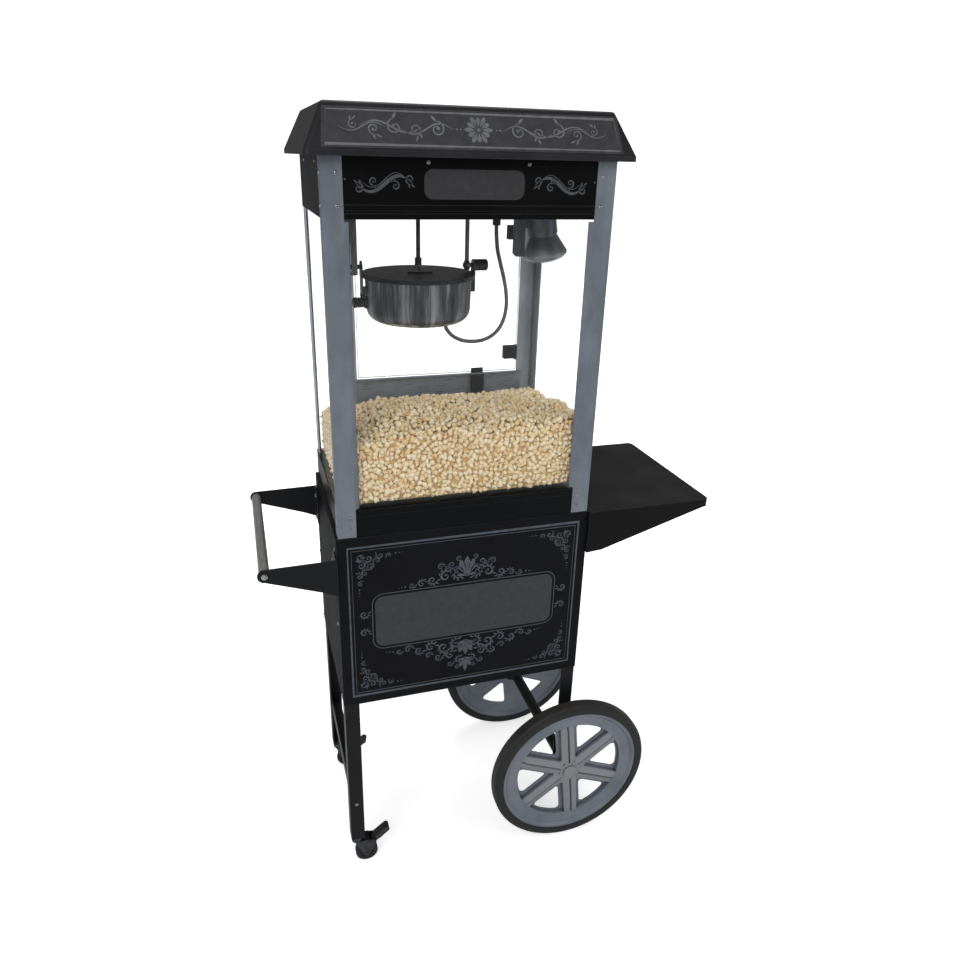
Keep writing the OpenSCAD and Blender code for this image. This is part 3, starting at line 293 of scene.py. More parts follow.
def relief(tree, height, strength, depth, **normal):
    """Normal with a height pressed into it."""
    return wire(tree, "ShaderNodeBump", Strength=strength, Distance=depth, Height=height, **normal)


def parted(tree, vector):
    """The three parts of a vector."""
    return wire(tree, "ShaderNodeSeparateXYZ", Vector=vector).outputs


def powder_coat(name, dark, pale, rough, gloss, dust=0.0, dusty=rgb(74, 72, 68)):
    """Baked black coat with orange-peel, rubbed edges and dust on upward faces."""
    material, tree, place, shader = new_finish(name)
    colour, fac = mottle(tree, place, 9, 4, dark, pale)
    soft = rounded(tree, 0.0016)
    flat = wire(tree, "ShaderNodeNewGeometry").outputs["Normal"]
    edge = wire(tree, "ShaderNodeVectorMath", {"operation": "DOT_PRODUCT"}, i0=soft, i1=flat).outputs["Value"]
    colour = blend(tree, ranged(tree, edge, 0.995, 0.9, 0.0, 0.22), colour, rgb(96, 98, 101))
    if dust:
        up = ranged(tree, parted(tree, flat)["Z"], 0.55, 1.0, 0.0, dust)
        up = calc(tree, "MULTIPLY", up, fac)
        colour = blend(tree, up, colour, dusty)
    peel = relief(tree, cloud(tree, place, 900, 2), 0.12, 0.0003, Normal=soft)
    plug(shader, Base_Color=colour, Roughness=spread(tree, fac, rough - 0.07, rough + 0.07),
         Specular_IOR_Level=gloss, Normal=peel)
    return material


def paint(material, *names):
    """Gives CAD nodes a material in place of their plain one."""
    for n in names:
        nodes[n].data.materials.clear()
        nodes[n].data.materials.append(material)


frame_coat = powder_coat("black_frame_coat", rgb(10, 11, 13), rgb(15, 17, 20), 0.46, 0.16, dust=0.25)
paint(frame_coat, "leg_front_left", "leg_rear_left", "leg_front_right", "leg_rear_right", "cart_top",
      "cart_floor", "leg_brace", "handle_arms", "axle")
shelf_coat = powder_coat("shelf_coat", rgb(8, 8, 10), rgb(14, 14, 16), 0.5, 0.1, dust=0.36,
                         dusty=rgb(70, 70, 71))
paint(shelf_coat, "side_shelf")

# ---- Cart panels -----------------------------------------
# Black sheet over the legs. The side panels are plain, in a bluer, less glossy copy of the coat that paints
# their bluish sheen; the front one carries screen-printed ornament in grey: a double line, corner scrolls and
# a bare cartouche.

# Painted sheen: the side panels take a bluer, less glossy copy of the black coat.
side_sheen_coat = powder_coat("side_panel_painted_sheen_coat", rgb(6, 9, 12), rgb(11, 14, 18), 0.55, 0.02)
front_coat = powder_coat("front_panel_coat", rgb(9, 9, 12), rgb(14, 15, 18), 0.55, 0.08)
paint(side_sheen_coat, "cart_left_panel", "cart_right_panel")
paint(front_coat, "cart_front_panel")


def print_ink(name, low, high):
    """Screen ink with a slightly uneven coat."""
    material, tree, place, shader = new_finish(name)
    colour, fac = mottle(tree, place, 70, 5, low, high)
    plug(shader, Base_Color=colour, Roughness=spread(tree, fac, 0.5, 0.66), Specular_IOR_Level=0.2)
    return material


INK_H = 0.00025         # thickness of the ink


class PrintedSheet:
    """Ink strokes on one plane: origin, right and up vectors, and the way out of the surface."""

    def __init__(self, origin, right=(1, 0, 0), up=(0, 0, 1)):
        self.bm = bmesh.new()
        self.o = Vector(origin)
        self.r = Vector(right).normalized()
        self.u = Vector(up).normalized()
        self.n = self.r.cross(self.u)

    def at(self, p, h):
        return self.bm.verts.new(self.o + (self.r * p[0] + self.u * p[1]) / 1000 + self.n * h)

    def stroke(self, points, widths, closed=False):
        """Ribbon along a polyline in millimetres, with a width at each point."""
        m = len(points)
        rows = []
        for i, p in enumerate(points):
            a = Vector(points[(i - 1) % m] if closed or i else p)
            b = Vector(points[(i + 1) % m] if closed or i < m - 1 else p)
            d = (b - a).normalized()
            side = Vector((-d.y, d.x))
            if closed:
                d1 = (Vector(p) - a).normalized()
                side /= max(0.5, side.dot(Vector((-d1.y, d1.x))))
            w, q = side * widths[i] / 2, Vector(p)
            rows.append([self.at(q + w, INK_H), self.at(q - w, INK_H), self.at(q - w, -INK_H),
                         self.at(q + w, -INK_H)])
        skin(self.bm, rows, closed)

    def blot(self, outline):
        """Filled outline in millimetres."""
        skin(self.bm, [[self.at(p, h) for p in outline] for h in (INK_H, -INK_H)])

    def dot(self, c, r):
        self.blot([(c[0] + r * cos(a), c[1] + r * sin(a))
                   for a in (2 * pi * k / 14 for k in range(14))])

    def frame_line(self, x0, y0, x1, y1, w):
        self.stroke([(x0, y0), (x1, y0), (x1, y1), (x0, y1)], [w] * 4, closed=True)

    def leaf(self, root, angle, length, width, bulge=0.8, thin=0.55):
        """Leaf from its root: pointed and hooked, or a round petal with a bulge over 1 and thin at 1."""
        c, s = cos(angle), sin(angle)
        half = [(length * i / 8, width / 2 * sin(pi * (i / 8) ** bulge)) for i in range(1, 8)]
        line = [(0, 0)] + half + [(length, 0)] + [(x, -y * thin) for x, y in half[::-1]]
        self.blot([(root[0] + x * c - y * s, root[1] + x * s + y * c) for x, y in line])

    def dry(self, name, ink):
        """Makes the ink a piece of the cart and cabinet."""
        piece = new_piece(name, self.bm, ink, smooth=False)
        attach(piece, CART)


def volute(cx, cy, r, deg, way, turns):
    """Spiral that runs inwards from radius r at an angle in degrees, way 1 or -1."""
    out = []
    for i in range(25):
        t = i / 24
        a = radians(deg) + way * 2 * pi * turns * t
        out.append((cx + r * (1 - 0.8 * t) * cos(a), cy + r * (1 - 0.8 * t) * sin(a)))
    return out


def vine(sheet, cx, cy, r, deg, way, place, leaves=5, fat=0.24):
    """Scroll of foliage: a spiral that thins towards its eye, with leaves along its back."""
    line = volute(cx, cy, r, deg, way, 1.15)
    sheet.stroke([place(x, y) for x, y in line], [r * (0.1 + fat * sin(pi * (i / 24) ** 0.6) ** 2)
                                                  for i in range(25)])
    sheet.dot(place(*line[-1]), r * 0.2)
    for k in range(leaves):
        x, y = line[2 * k]
        out = radians(deg) + way * (0.6 * k - 0.75)
        root, tip = place(x, y), place(x + cos(out), y + sin(out))
        sheet.leaf(root, atan2(tip[1] - root[1], tip[0] - root[0]), r * (0.98 - 0.09 * k), r * 0.4)


def wave(sheet, x0, x1, y, rise, fat, place):
    """One period of a flowing line between two points at the same height."""
    ts = [i / 30 for i in range(31)]
    sheet.stroke([place(x0 + (x1 - x0) * t, y + rise * sin(2 * pi * t)) for t in ts],
                 [0.5 + fat * sin(pi * t) for t in ts])


def fan(sheet, root, deg, lengths, width, open_deg):
    """Shell of petals spread round one direction, the middle one first in the list."""
    for k, n in enumerate(lengths):
        for s in ((1, -1) if k else (1,)):
            sheet.leaf(root, radians(deg + s * k * open_deg), n, width, 1.7, 1)


def corner_scroll(sheet, cx, cy, sx, sy):
    """Foliage for one corner, growing along both edges from the corner point."""
    for swap in (False, True):
        def place(x, y):
            x, y = (y, x) if swap else (x, y)
            return cx + sx * x, cy + sy * y
        for x, y, r, deg, way in ((27, 13, 9, 200, -1), (44, 20, 6.5, 160, 1), (50, 9, 6.5, 200, -1),
                                  (67, 11, 5, 160, 1), (33, 31, 5.5, 230, 1)):
            vine(sheet, x, y, r, deg, way, place, 4)
        for x, r in ((80, 1.7), (87, 1.2), (93, 0.9)):
            sheet.dot(place(x, 8), r)
    for n, turn in ((24, 0), (17, 0.5), (17, -0.5)):
        sheet.leaf((cx + sx * 6, cy + sy * 6), atan2(sy, sx) + turn, n, 8)


CORNER_STEPS = 7


def cartouche_outline(w, h, r):
    """Rounded rectangle round the middle, in millimetres."""
    out = []
    for qx, qy, a0 in ((1, 1, 0), (-1, 1, 90), (-1, -1, 180), (1, -1, 270)):
        for i in range(CORNER_STEPS + 1):
            a = radians(a0 + 90 * i / CORNER_STEPS)
            out.append((qx * (w / 2 - r) + r * cos(a), qy * (h / 2 - r) + r * sin(a)))
    return out


def mirrored(s):
    """Placing that keeps a pattern on its side, or mirrors it to the other one."""
    return lambda x, y: (s * x, y)


panel_low, panel_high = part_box("cart_front_panel")
panel_mid_x = (panel_low.x + panel_high.x) / 2
PRINT_Z = 0.639         # middle of the printed field
panel = PrintedSheet((panel_mid_x, panel_low.y, PRINT_Z))
panel.frame_line(-236, -170, 236, 170, 3.8)
panel.frame_line(-229, -163, 229, 163, 1.0)
for sx in (-1, 1):
    for sy in (-1, 1):
        corner_scroll(panel, -224 * sx, -158 * sy, sx, sy)
for s in (-1, 1):
    beside = mirrored(s)
    # crest over the cartouche
    for x, y, r, deg, way in ((19, 88, 11, 250, 1), (44, 84, 13, 150, -1), (71, 79, 10, 200, 1),
                              (93, 74, 8, 150, -1), (31, 108, 8.5, 230, 1), (54, 106, 7, 170, -1),
                              (112, 73, 6, 200, 1), (16, 122, 6, 250, 1)):
        vine(panel, x, y, r, deg, way, beside)
    # pendant under it
    for x, y, r, deg, way in ((21, -80, 11, 110, -1), (47, -84, 13, 210, 1), (75, -79, 10.5, 160, -1),
                              (99, -82, 9, 210, 1), (121, -76, 8, 160, -1), (140, -77, 6, 210, 1),
                              (33, -106, 10, 130, -1), (58, -106, 8, 190, 1), (79, -99, 6.5, 160, -1),
                              (14, -121, 7.5, 110, -1), (33, -127, 6, 180, 1), (17, -139, 4.5, 110, -1)):
        vine(panel, x, y, r, deg, way, beside)
    for x, y, r in ((126, 72, 1.7), (133, 71, 1.3), (139, 70, 0.9),
                    (153, -76, 1.7), (160, -75, 1.3), (166, -74, 0.9)):
        panel.dot((s * x, y), r)
    # sprigs at the cartouche's ends
    for y in (22, -22):
        vine(panel, 209, y, 8.5, 180, 1 if y > 0 else -1, beside, 6)
fan(panel, (0, 78), 90, (46, 42, 35, 26), 12, 21)
fan(panel, (0, -72), -90, (38, 34, 28), 11, 25)
fan(panel, (0, -116), -90, (36, 27, 20), 9, 27)
panel.stroke(cartouche_outline(384, 126, 22), [1.6] * 32, closed=True)
panel.dry("panel_ornament", print_ink("panel_ink", rgb(54, 59, 66), rgb(74, 80, 89)))

plate = PrintedSheet((panel_mid_x, panel_low.y, PRINT_Z))
plate.blot(cartouche_outline(373, 115, 17))
plate.dry("panel_cartouche", print_ink("cartouche_ink", rgb(43, 45, 48), rgb(52, 55, 58)))

# ---- Push bar --------------------------------------------
# Steel tube, ground along its length and plated, dulled in cloudy patches.


def ground_metal(name, low, high, axis, rough, metallic=1.0, streaks=60, coarse=6):
    """Metal with fine grinding lines along one axis."""
    material, tree, place, shader = new_finish(name)
    stretch = [coarse if letter == axis else streaks for letter in "xyz"]
    lines, fac = mottle(tree, place, 8, 4, low, high, stretch=stretch)
    dull, _ = mottle(tree, place, 5, 3, (0.75, 0.75, 0.76, 1), (1, 1, 1, 1))
    plug(shader, Base_Color=blend(tree, 1.0, lines, dull, "MULTIPLY"), Metallic=metallic,
         Roughness=spread(tree, fac, rough - 0.08, rough + 0.1),
         Normal=relief(tree, fac, 0.15, 0.0002, Normal=rounded(tree, 0.0008)))
    return material


bar_metal = ground_metal("ground_tube", rgb(112, 110, 108), rgb(160, 158, 156), "y", 0.34, metallic=0.5)
paint(bar_metal, "push_bar")

# ---- Bolts -----------------------------------------------
# Zinc-plated dome bolts and small pan-head screws. Those of the cart are single solids; the
# screws of posts and header and the heads at the kettle's ears are stamped by one generator.

zinc = ground_metal("zinc_plate", rgb(120, 122, 126), rgb(178, 180, 184), "z", 0.32, streaks=14, coarse=14)
dark_zinc = ground_metal("dark_zinc", rgb(44, 46, 49), rgb(84, 87, 92), "z", 0.4, streaks=14, coarse=14)
paint(zinc, "cart_bolts")


def open_tree(name, sockets, result):
    """Empty geometry tree with its inputs, given as (label, kind), and its one result."""
    tree = bpy.data.node_groups.new(name, "GeometryNodeTree")
    for label, kind in sockets:
        tree.interface.new_socket(label, in_out="INPUT", socket_type="NodeSocket" + kind)
    tree.interface.new_socket(result, in_out="OUTPUT", socket_type="NodeSocketGeometry")
    return tree, tree.nodes.new("NodeGroupInput").outputs


def close_tree(tree, geometry, material):
    """Ends a geometry tree with real geometry that has its material."""
    real = wire(tree, "GeometryNodeRealizeInstances", Geometry=geometry)
    coated = wire(tree, "GeometryNodeSetMaterial", Geometry=real, Material=material)
    wire(tree, "NodeGroupOutput", i0=coated)
    return tree


def joined(tree, x, y, z=0.0):
    """A vector from its parts."""
    return wire(tree, "ShaderNodeCombineXYZ", X=x, Y=y, Z=z)


def screw_generator():
    """Pan-head screws with a crossed slot on every face centre, turned to its normal."""
    tree, given = open_tree("pan_head_screws", (("Places", "Geometry"), ("Head radius", "Float"),
                                                ("Head height", "Float"), ("Plating", "Material")), "Screws")
    radius, height = given["Head radius"], given["Head height"]
    ball = wire(tree, "GeometryNodeMeshUVSphere", Segments=16, Rings=8, Radius=radius)
    squeeze = joined(tree, 1.0, 1.0, calc(tree, "DIVIDE", height, radius))
    head = wire(tree, "GeometryNodeTransform", Geometry=ball, Scale=squeeze)
    long, thin = calc(tree, "MULTIPLY", radius, 1.1), calc(tree, "MULTIPLY", radius, 0.24)
    deep = calc(tree, "MULTIPLY", height, 1.2)
    lift = joined(tree, 0.0, 0.0, height)
    cut = wire(tree, "GeometryNodeMeshBoolean", {"operation": "DIFFERENCE", "solver": "EXACT"},
               i0=head)
    for a, b in ((thin, long), (long, thin)):
        bar = wire(tree, "GeometryNodeMeshCube", Size=joined(tree, a, b, deep))
        bar = wire(tree, "GeometryNodeTransform", Geometry=bar, Translation=lift)
        plug(cut, i1=bar)
    store = wire(tree, "GeometryNodeCaptureAttribute", {"domain": "FACE"}, Geometry=given["Places"])
    store.capture_items.new("VECTOR", "Normal")
    plug(store, i1=wire(tree, "GeometryNodeInputNormal"))
    spots = wire(tree, "GeometryNodeMeshToPoints", {"mode": "FACES"}, Mesh=store)
    turn = wire(tree, "FunctionNodeAlignRotationToVector", {"axis": "Z"}, Vector=store.outputs[1])
    stamped = wire(tree, "GeometryNodeInstanceOnPoints", Points=spots, Instance=cut,
                   Rotation=turn)
    return close_tree(tree, stamped, given["Plating"])


screws_tree = screw_generator()


def run_generator(seed_piece, tree, **inputs):
    """Runs a geometry tree on a piece and makes its plain result the piece's mesh."""
    maker = seed_piece.modifiers.new("maker", "NODES")
    maker.node_group = tree
    ids = {item.name: item.identifier for item in tree.interface.items_tree if item.in_out == "INPUT"}
    for key, value in inputs.items():
        maker[ids[key.replace("_", " ")]] = value
    bpy.context.view_layer.update()
    graph = bpy.context.evaluated_depsgraph_get()
    mesh = bpy.data.meshes.new_from_object(seed_piece.evaluated_get(graph), preserve_all_data_layers=True,
                                           depsgraph=graph)
    seed_piece.modifiers.clear()
    seed_piece.data = mesh


def screw_set(name, body, slot, places, radius, height, plating):
    """Screws at (point, outward normal) places, in metres."""
    bm = bmesh.new()
    for p, n in places:
        n = Vector(n).normalized()
        a = n.orthogonal().normalized() * 0.001
        b = n.cross(a)
        p = Vector(p)
        bm.faces.new([bm.verts.new(p + q) for q in (a + b, b - a, -a - b, a - b)])
    piece = new_piece(name, bm)
    for f, (p, n) in zip(piece.data.polygons, places):
        if f.normal.dot(Vector(n)) < 0:
            f.flip()
    run_generator(piece, screws_tree, Head_radius=radius, Head_height=height, Plating=plating)
    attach(piece, body)

# ---- Large wheels and axle -------------------------------
# One-piece moulded wheels in silver-grey plastic, and the solid rubber tyres pressed on them.
# The mould leaves a fine matt grain; the outer faces of the raised spokes are a paler tone, and painted shade
# darkens the creases.


def moulded(name, low, high, rough, scale=14, gloss=0.4):
    """Injection-moulded plastic with cloudy tone and fine grain."""
    material, tree, place, shader = new_finish(name)
    colour, fac = mottle(tree, place, scale, 5, low, high)
    grain = relief(tree, cloud(tree, place, 700, 2), 0.15, 0.0003, Normal=rounded(tree, 0.001))
    plug(shader, Base_Color=colour, Roughness=spread(tree, fac, rough - 0.06, rough + 0.08),
         Specular_IOR_Level=gloss, Normal=grain)
    return material


wheel_low, wheel_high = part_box("tyre_front")
wheel_mid = (wheel_low + wheel_high) / 2


def from_hub(tree, place):
    """Distance from the wheels' common axis, and distance sideways from the cart's middle."""
    away = wire(tree, "ShaderNodeVectorMath", {"operation": "SUBTRACT"}, i0=place,
                i1=(wheel_mid.x, 0, wheel_mid.z))
    x, y, z = parted(tree, away)
    return length_of(tree, joined(tree, x, z)), calc(tree, "ABSOLUTE", y)


wheel_plastic = moulded("silver_wheel_plastic", rgb(82, 89, 98), rgb(102, 108, 117), 0.4, gloss=0.45)
tree = wheel_plastic.node_tree
shader = tree.nodes["Principled BSDF"]
plain = shader.inputs["Base Color"].links[0].from_socket
reach, sideways = from_hub(tree, wire(tree, "ShaderNodeTexCoord").outputs["Object"])
PALE_FACE, PALE_RIM = (0.2028, 0.2065), (0.124, 0.131)     # where the paler tone starts and ends
raised = calc(tree, "MULTIPLY", ranged(tree, sideways, *PALE_FACE, 0.0, 0.8),
              ranged(tree, reach, *PALE_RIM, 1.0, 0.0))
paler_spokes = blend(tree, raised, plain, rgb(117, 118, 122))
# Painted shade: ambient occlusion darkens the plastic's colour in the creases and recesses round spokes, web
# and rim.
painted_crease_shade = wire(tree, "ShaderNodeAmbientOcclusion", {"samples": 6}, Distance=0.009).outputs["AO"]
plug(shader, Base_Color=blend(tree, 1.0, paler_spokes, ranged(tree, painted_crease_shade, 0.3, 0.9, 0.5, 1.0), "MULTIPLY"))
paint(wheel_plastic, "wheel_front", "wheel_rear")

SPOKES, SPOKE_TURN = 6, 36          # number, and the first one's angle in degrees
HALF = radians(180 / SPOKES)
HUB_DEPTH = 0.014                   # middle plane of the spokes behind the hub's face
WEB_IN, WEB_OUT, WEB_T, WEB_SINK = 0.036, 0.132, 0.0036, 0.0022
WINDOW_AT, WINDOW_OUT, WINDOW_EDGE, WINDOW_ROUND, WINDOW_POINTS = 0.093, 0.1235, 0.0255, 0.011, 56
# distance from the hub, half width and crest of a spoke's notched ridge, and its shoulder
RIDGE = ((0.023, 0.0175, 0.0115), (0.116, 0.0162, 0.0115), (0.1335, 0.0162, 0.0068))
RIDGE_FOOT, SHOULDER, NOTCH_HALF, NOTCH_DEPTH = -0.001, 0.0061, 0.0026, 0.0045


def in_window(x, z):
    """Tells whether a point lies in the rounded window along +X from the hub."""
    sides = [x * sin(HALF) - s * z * cos(HALF) - WINDOW_EDGE - WINDOW_ROUND for s in (1, -1)]
    room = sides + [WINDOW_OUT - WINDOW_ROUND - hypot(x, z)]
    return hypot(*[min(0, v) for v in sorted(room)[:2]]) < WINDOW_ROUND


def in_sector(x, z):
    """Tells whether a point lies in the wheel's sector round that window."""
    return abs(atan2(z, x)) < HALF and WEB_IN < hypot(x, z) < WEB_OUT


def edge_reach(inside, dx, dz):
    """Distance from the window's middle to the edge of a region."""
    lo, hi = 0.0, 0.15
    for _ in range(26):
        mid = (lo + hi) / 2
        lo, hi = (mid, hi) if inside(WINDOW_AT + dx * mid, dz * mid) else (lo, mid)
    return lo


def spoke_axes(angle):
    """Directions out of the hub and across it."""
    return Vector((cos(angle), 0, sin(angle))), Vector((-sin(angle), 0, cos(angle)))


for name, body, sy in (("wheel_front", "front_wheel", -1), ("wheel_rear", "rear_wheel", 1)):
    low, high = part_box(name)
    hub = (low + high) / 2
    hub.y = low.y + HUB_DEPTH if sy < 0 else high.y - HUB_DEPTH
    bm = bmesh.new()
    for k in range(SPOKES):
        turn = radians(SPOKE_TURN) + (2 * k + 1) * HALF
        out, across = spoke_axes(turn)
        rings = [[], [], [], []]
        for i in range(WINDOW_POINTS):
            a = 2 * pi * i / WINDOW_POINTS
            near, far = (edge_reach(inside, cos(a), sin(a)) for inside in (in_window, in_sector))
            for ring, reach, depth in zip(rings, (near, far, far, near), (0, 0, WEB_T, WEB_T)):
                flat = out * (WINDOW_AT + cos(a) * reach) + across * (sin(a) * reach)
                ring.append(bm.verts.new(hub + flat + Vector((0, -sy * (WEB_SINK + depth), 0))))
        skin(bm, rings, closed=True)
        out, across = spoke_axes(turn - HALF)
        rows = []
        for r, wide, crest in RIDGE:
            side = ((wide, RIDGE_FOOT), (wide - 0.0006, SHOULDER), (NOTCH_HALF, crest))
            outline = [(-w, h) for w, h in side] + [(0, crest - NOTCH_DEPTH)] + list(side[::-1])
            rows.append([bm.verts.new(hub + out * r + across * w + Vector((0, sy * h, 0)))
                         for w, h in outline])
        skin(bm, rows)
    web = new_piece(name + "_web", bm, wheel_plastic, smooth=False)
    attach(web, body)


TREAD = (0.181, 0.185)      # distance from the hub at which the wall turns into the tread
RING_PITCH = 2600.0         # of the wall's moulding rings, in radians per metre


def tyre_rubber(name):
    """Rubber with moulding rings on the wall and a scuffed, dusty tread."""
    material, tree, place, shader = new_finish(name)
    reach, _ = from_hub(tree, place)
    colour, fac = mottle(tree, place, 22, 5, rgb(16, 16, 17), rgb(27, 26, 26))
    tread = calc(tree, "MULTIPLY", ranged(tree, reach, *TREAD, 0.0, 0.55), fac)
    rings = calc(tree, "SINE", calc(tree, "MULTIPLY", reach, RING_PITCH))
    grit = relief(tree, fac, 0.4, 0.0005, Normal=relief(tree, rings, 0.35, 0.0002))
    plug(shader, Base_Color=blend(tree, tread, colour, rgb(66, 63, 60)), Specular_IOR_Level=0.35,
         Roughness=spread(tree, fac, 0.5, 0.72), Normal=grit)
    return material


paint(tyre_rubber("tyre_rubber"), "tyre_front", "tyre_rear")

# ---- Casters ---------------------------------------------
# Pressed forks in passivated steel with black rollers and brake pedals.

fork_metal = ground_metal("fork_zinc", rgb(54, 55, 58), rgb(92, 94, 98), "z", 0.38, streaks=18, coarse=12)
paint(fork_metal, "caster_fork_front", "caster_fork_rear")
roller_rubber = moulded("roller_rubber", rgb(17, 17, 18), rgb(34, 33, 33), 0.6, scale=60, gloss=0.3)
paint(roller_rubber, "caster_wheel_front", "caster_wheel_rear")
pedal_plastic = moulded("pedal_plastic", rgb(20, 20, 21), rgb(30, 30, 31), 0.42, scale=40)
paint(pedal_plastic, "caster_brake_front", "caster_brake_rear")

# ---- Cabinet base, deck and drawer -----------------------
# The base box is glossy black sheet. Inside lies the pierced steel deck over the drawer for
# unpopped kernels, both in brushed steel.

base_coat = powder_coat("base_band_coat", rgb(4, 6, 7), rgb(8, 10, 11), 0.4, 0.08)
paint(base_coat, "base_tray")
inner_steel = ground_metal("inner_steel", rgb(128, 131, 134), rgb(176, 179, 182), "x", 0.3,
                           streaks=70, coarse=5)
paint(inner_steel, "kernel_deck", "crumb_drawer")

# ---- Posts and stile -------------------------------------
# Bent corner profiles in grey anodised metal with a cloudy satin face.


def anodised(name, low, high, rough, metallic=0.55):
    material, tree, place, shader = new_finish(name)
    colour, fac = mottle(tree, place, 16, 4, low, high, stretch=(1.6, 1.6, 0.7))
    satin = relief(tree, cloud(tree, place, 420, 3), 0.1, 0.0002, Normal=rounded(tree, 0.0012))
    plug(shader, Base_Color=colour, Roughness=spread(tree, fac, rough - 0.06, rough + 0.1),
         Metallic=metallic, Normal=satin)
    return material


post_metal = anodised("post_anodising", rgb(97, 103, 111), rgb(114, 121, 131), 0.42)
paint(post_metal, "post_front_left", "post_front_right")
# Painted light: the rear posts and the stile take a much lighter copy of the same finish, so they stand lit
# where they sit in shade inside the cabinet.
rear_lit_metal = anodised("rear_post_painted_light_anodising", rgb(138, 146, 153), rgb(170, 178, 186), 0.4, metallic=0.3)
paint(rear_lit_metal, "post_rear_left", "post_rear_right", "door_stile")

cab_low, cab_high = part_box("header")
CAB_X = (cab_low.x + cab_high.x) / 2


def at(x, y, z):
    """Point in metres from millimetres off the cabinet's centre line."""
    return Vector((CAB_X + x / 1000, y / 1000, z / 1000))


case_places = []
for s in (-1, 1):
    for z in (848, 870, 1416, 1465):
        case_places.append((at(s * 227, -172, z), (0, -1, 0)))
        case_places.append((at(s * 252, -160, z), (s, 0, 0)))

# ---- Panes -----------------------------------------------
# Clear acrylic sheet: front, sides, rear and door. Light goes straight through; only the sheen
# of the surface and a trace of grey stay, stronger at grazing angles and on a free edge.

SAWN_EDGE = 0.0026       # width of the greyer line round the door's free sheet


def outline_mask(tree, place, low, high):
    """1 on the sawn edge of a standing pane, 0 inside it."""
    axes = parted(tree, place)
    sides = []
    for k in (0, 2):
        off = calc(tree, "ABSOLUTE", calc(tree, "SUBTRACT", axes[k], (low[k] + high[k]) / 2))
        sides.append(calc(tree, "GREATER_THAN", off, (high[k] - low[k]) / 2 - SAWN_EDGE))
    return calc(tree, "MAXIMUM", *sides)


def clear_sheet(name, tint, edges_of=None):
    material, tree, place, shader = new_finish(name)
    grazing = wire(tree, "ShaderNodeFresnel", IOR=1.45)
    smear = cloud(tree, place, 6, 4)
    sheen = ranged(tree, grazing, 0.04, 1.0, 0.014, 0.11)
    total = calc(tree, "MULTIPLY", sheen, spread(tree, smear, 0.7, 1.4))
    if edges_of:
        sawn = outline_mask(tree, place, *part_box(edges_of))
        total = calc(tree, "MAXIMUM", total, calc(tree, "MULTIPLY", sawn, 0.5))
    plug(shader, Base_Color=tint, Alpha=total, Roughness=spread(tree, smear, 0.02, 0.06), Metallic=0.9)
    return material


pane_finish = clear_sheet("clear_acrylic", rgb(230, 234, 236))
paint(pane_finish, "front_glass", "side_glasses", "rear_pane")
door_finish = clear_sheet("door_acrylic", rgb(200, 208, 212), edges_of="rear_door")
paint(door_finish, "rear_door")

# ---- Rear sill, catch and door fittings ------------------
# Bluish brushed steel behind the popcorn, black plastic catch, hinges and knob.

sill_steel = ground_metal("sill_steel", rgb(120, 131, 143), rgb(140, 150, 161), "x", 0.28, metallic=0.4,
                          streaks=40, coarse=4)
paint(sill_steel, "rear_sill")
fitting_plastic = moulded("fitting_plastic", rgb(17, 17, 18), rgb(26, 26, 27), 0.4, scale=50)
paint(fitting_plastic, "door_catch", "door_fittings", "cable_socket", "mains_gland")

# ---- Header ----------------------------------------------
# Black box round the top with two pressed creases, and grey printed scrolls either side of a
# bare plate.

header_coat = powder_coat("header_coat", rgb(5, 5, 6), rgb(8, 8, 9), 0.42, 0.07)
paint(header_coat, "header")
band_mid = at(0, -170, 1450)
band = PrintedSheet(band_mid)
for s in (-1, 1):
    beside = mirrored(s)
    wave(band, 104, 196, 0, 12, 5.5, beside)
    wave(band, 112, 190, 5.5, 11, 0.9, beside)
    for x, y, r, deg, way in ((109, 7, 8, 260, 1), (133, -3, 7.5, 60, 1), (168, 4, 7.5, 240, 1),
                              (192, -7, 8, 80, 1)):
        vine(band, x, y, r, deg, way, beside, 2)
    band.dot((s * 213, 6), 1.5)
band.dry("header_ornament", print_ink("header_ink", rgb(52, 55, 59), rgb(70, 74, 79)))
strip = PrintedSheet(band_mid)
strip.blot(cartouche_outline(172, 46, 15))
strip.dry("header_cartouche", print_ink("header_plate_ink", rgb(40, 40, 42), rgb(47, 47, 49)))

for x in (-79, 93):
    case_places.append((at(x, -170, 1483), (0, -1, 0)))
for s in (-1, 1):
    for y in (-90, 90):
        case_places.append((at(s * 250, y, 1482), (s, 0, 0)))
CASE_HEAD = (0.0036, 0.0018)      # radius and height of a screw's head
screw_set("case_screws", CART, "bright_steel", case_places, *CASE_HEAD, zinc)

# ---- Roof ------------------------------------------------
# Vacuum-formed charcoal cover. Its steep front carries a lighter printed field with a border,
# scroll groups and a rosette; the rim below stays dark.

roof_coat = powder_coat("roof_coat", rgb(22, 22, 24), rgb(30, 30, 33), 0.46, 0.2, dust=0.3,
                        dusty=rgb(84, 83, 82))
paint(roof_coat, "roof")


def widest_slope(node, way):
    """Centre line and directions of the largest face that looks one way."""
    best = max((p for p in nodes[node].data.polygons if p.normal.dot(Vector(way)) > 0.8 and p.normal.z > 0.2),
               key=lambda p: p.area)
    out = best.normal.normalized()
    right = Vector((0, 0, 1)).cross(out).normalized()
    return nodes[node].data.vertices[best.vertices[0]].co.copy(), right, out.cross(right)


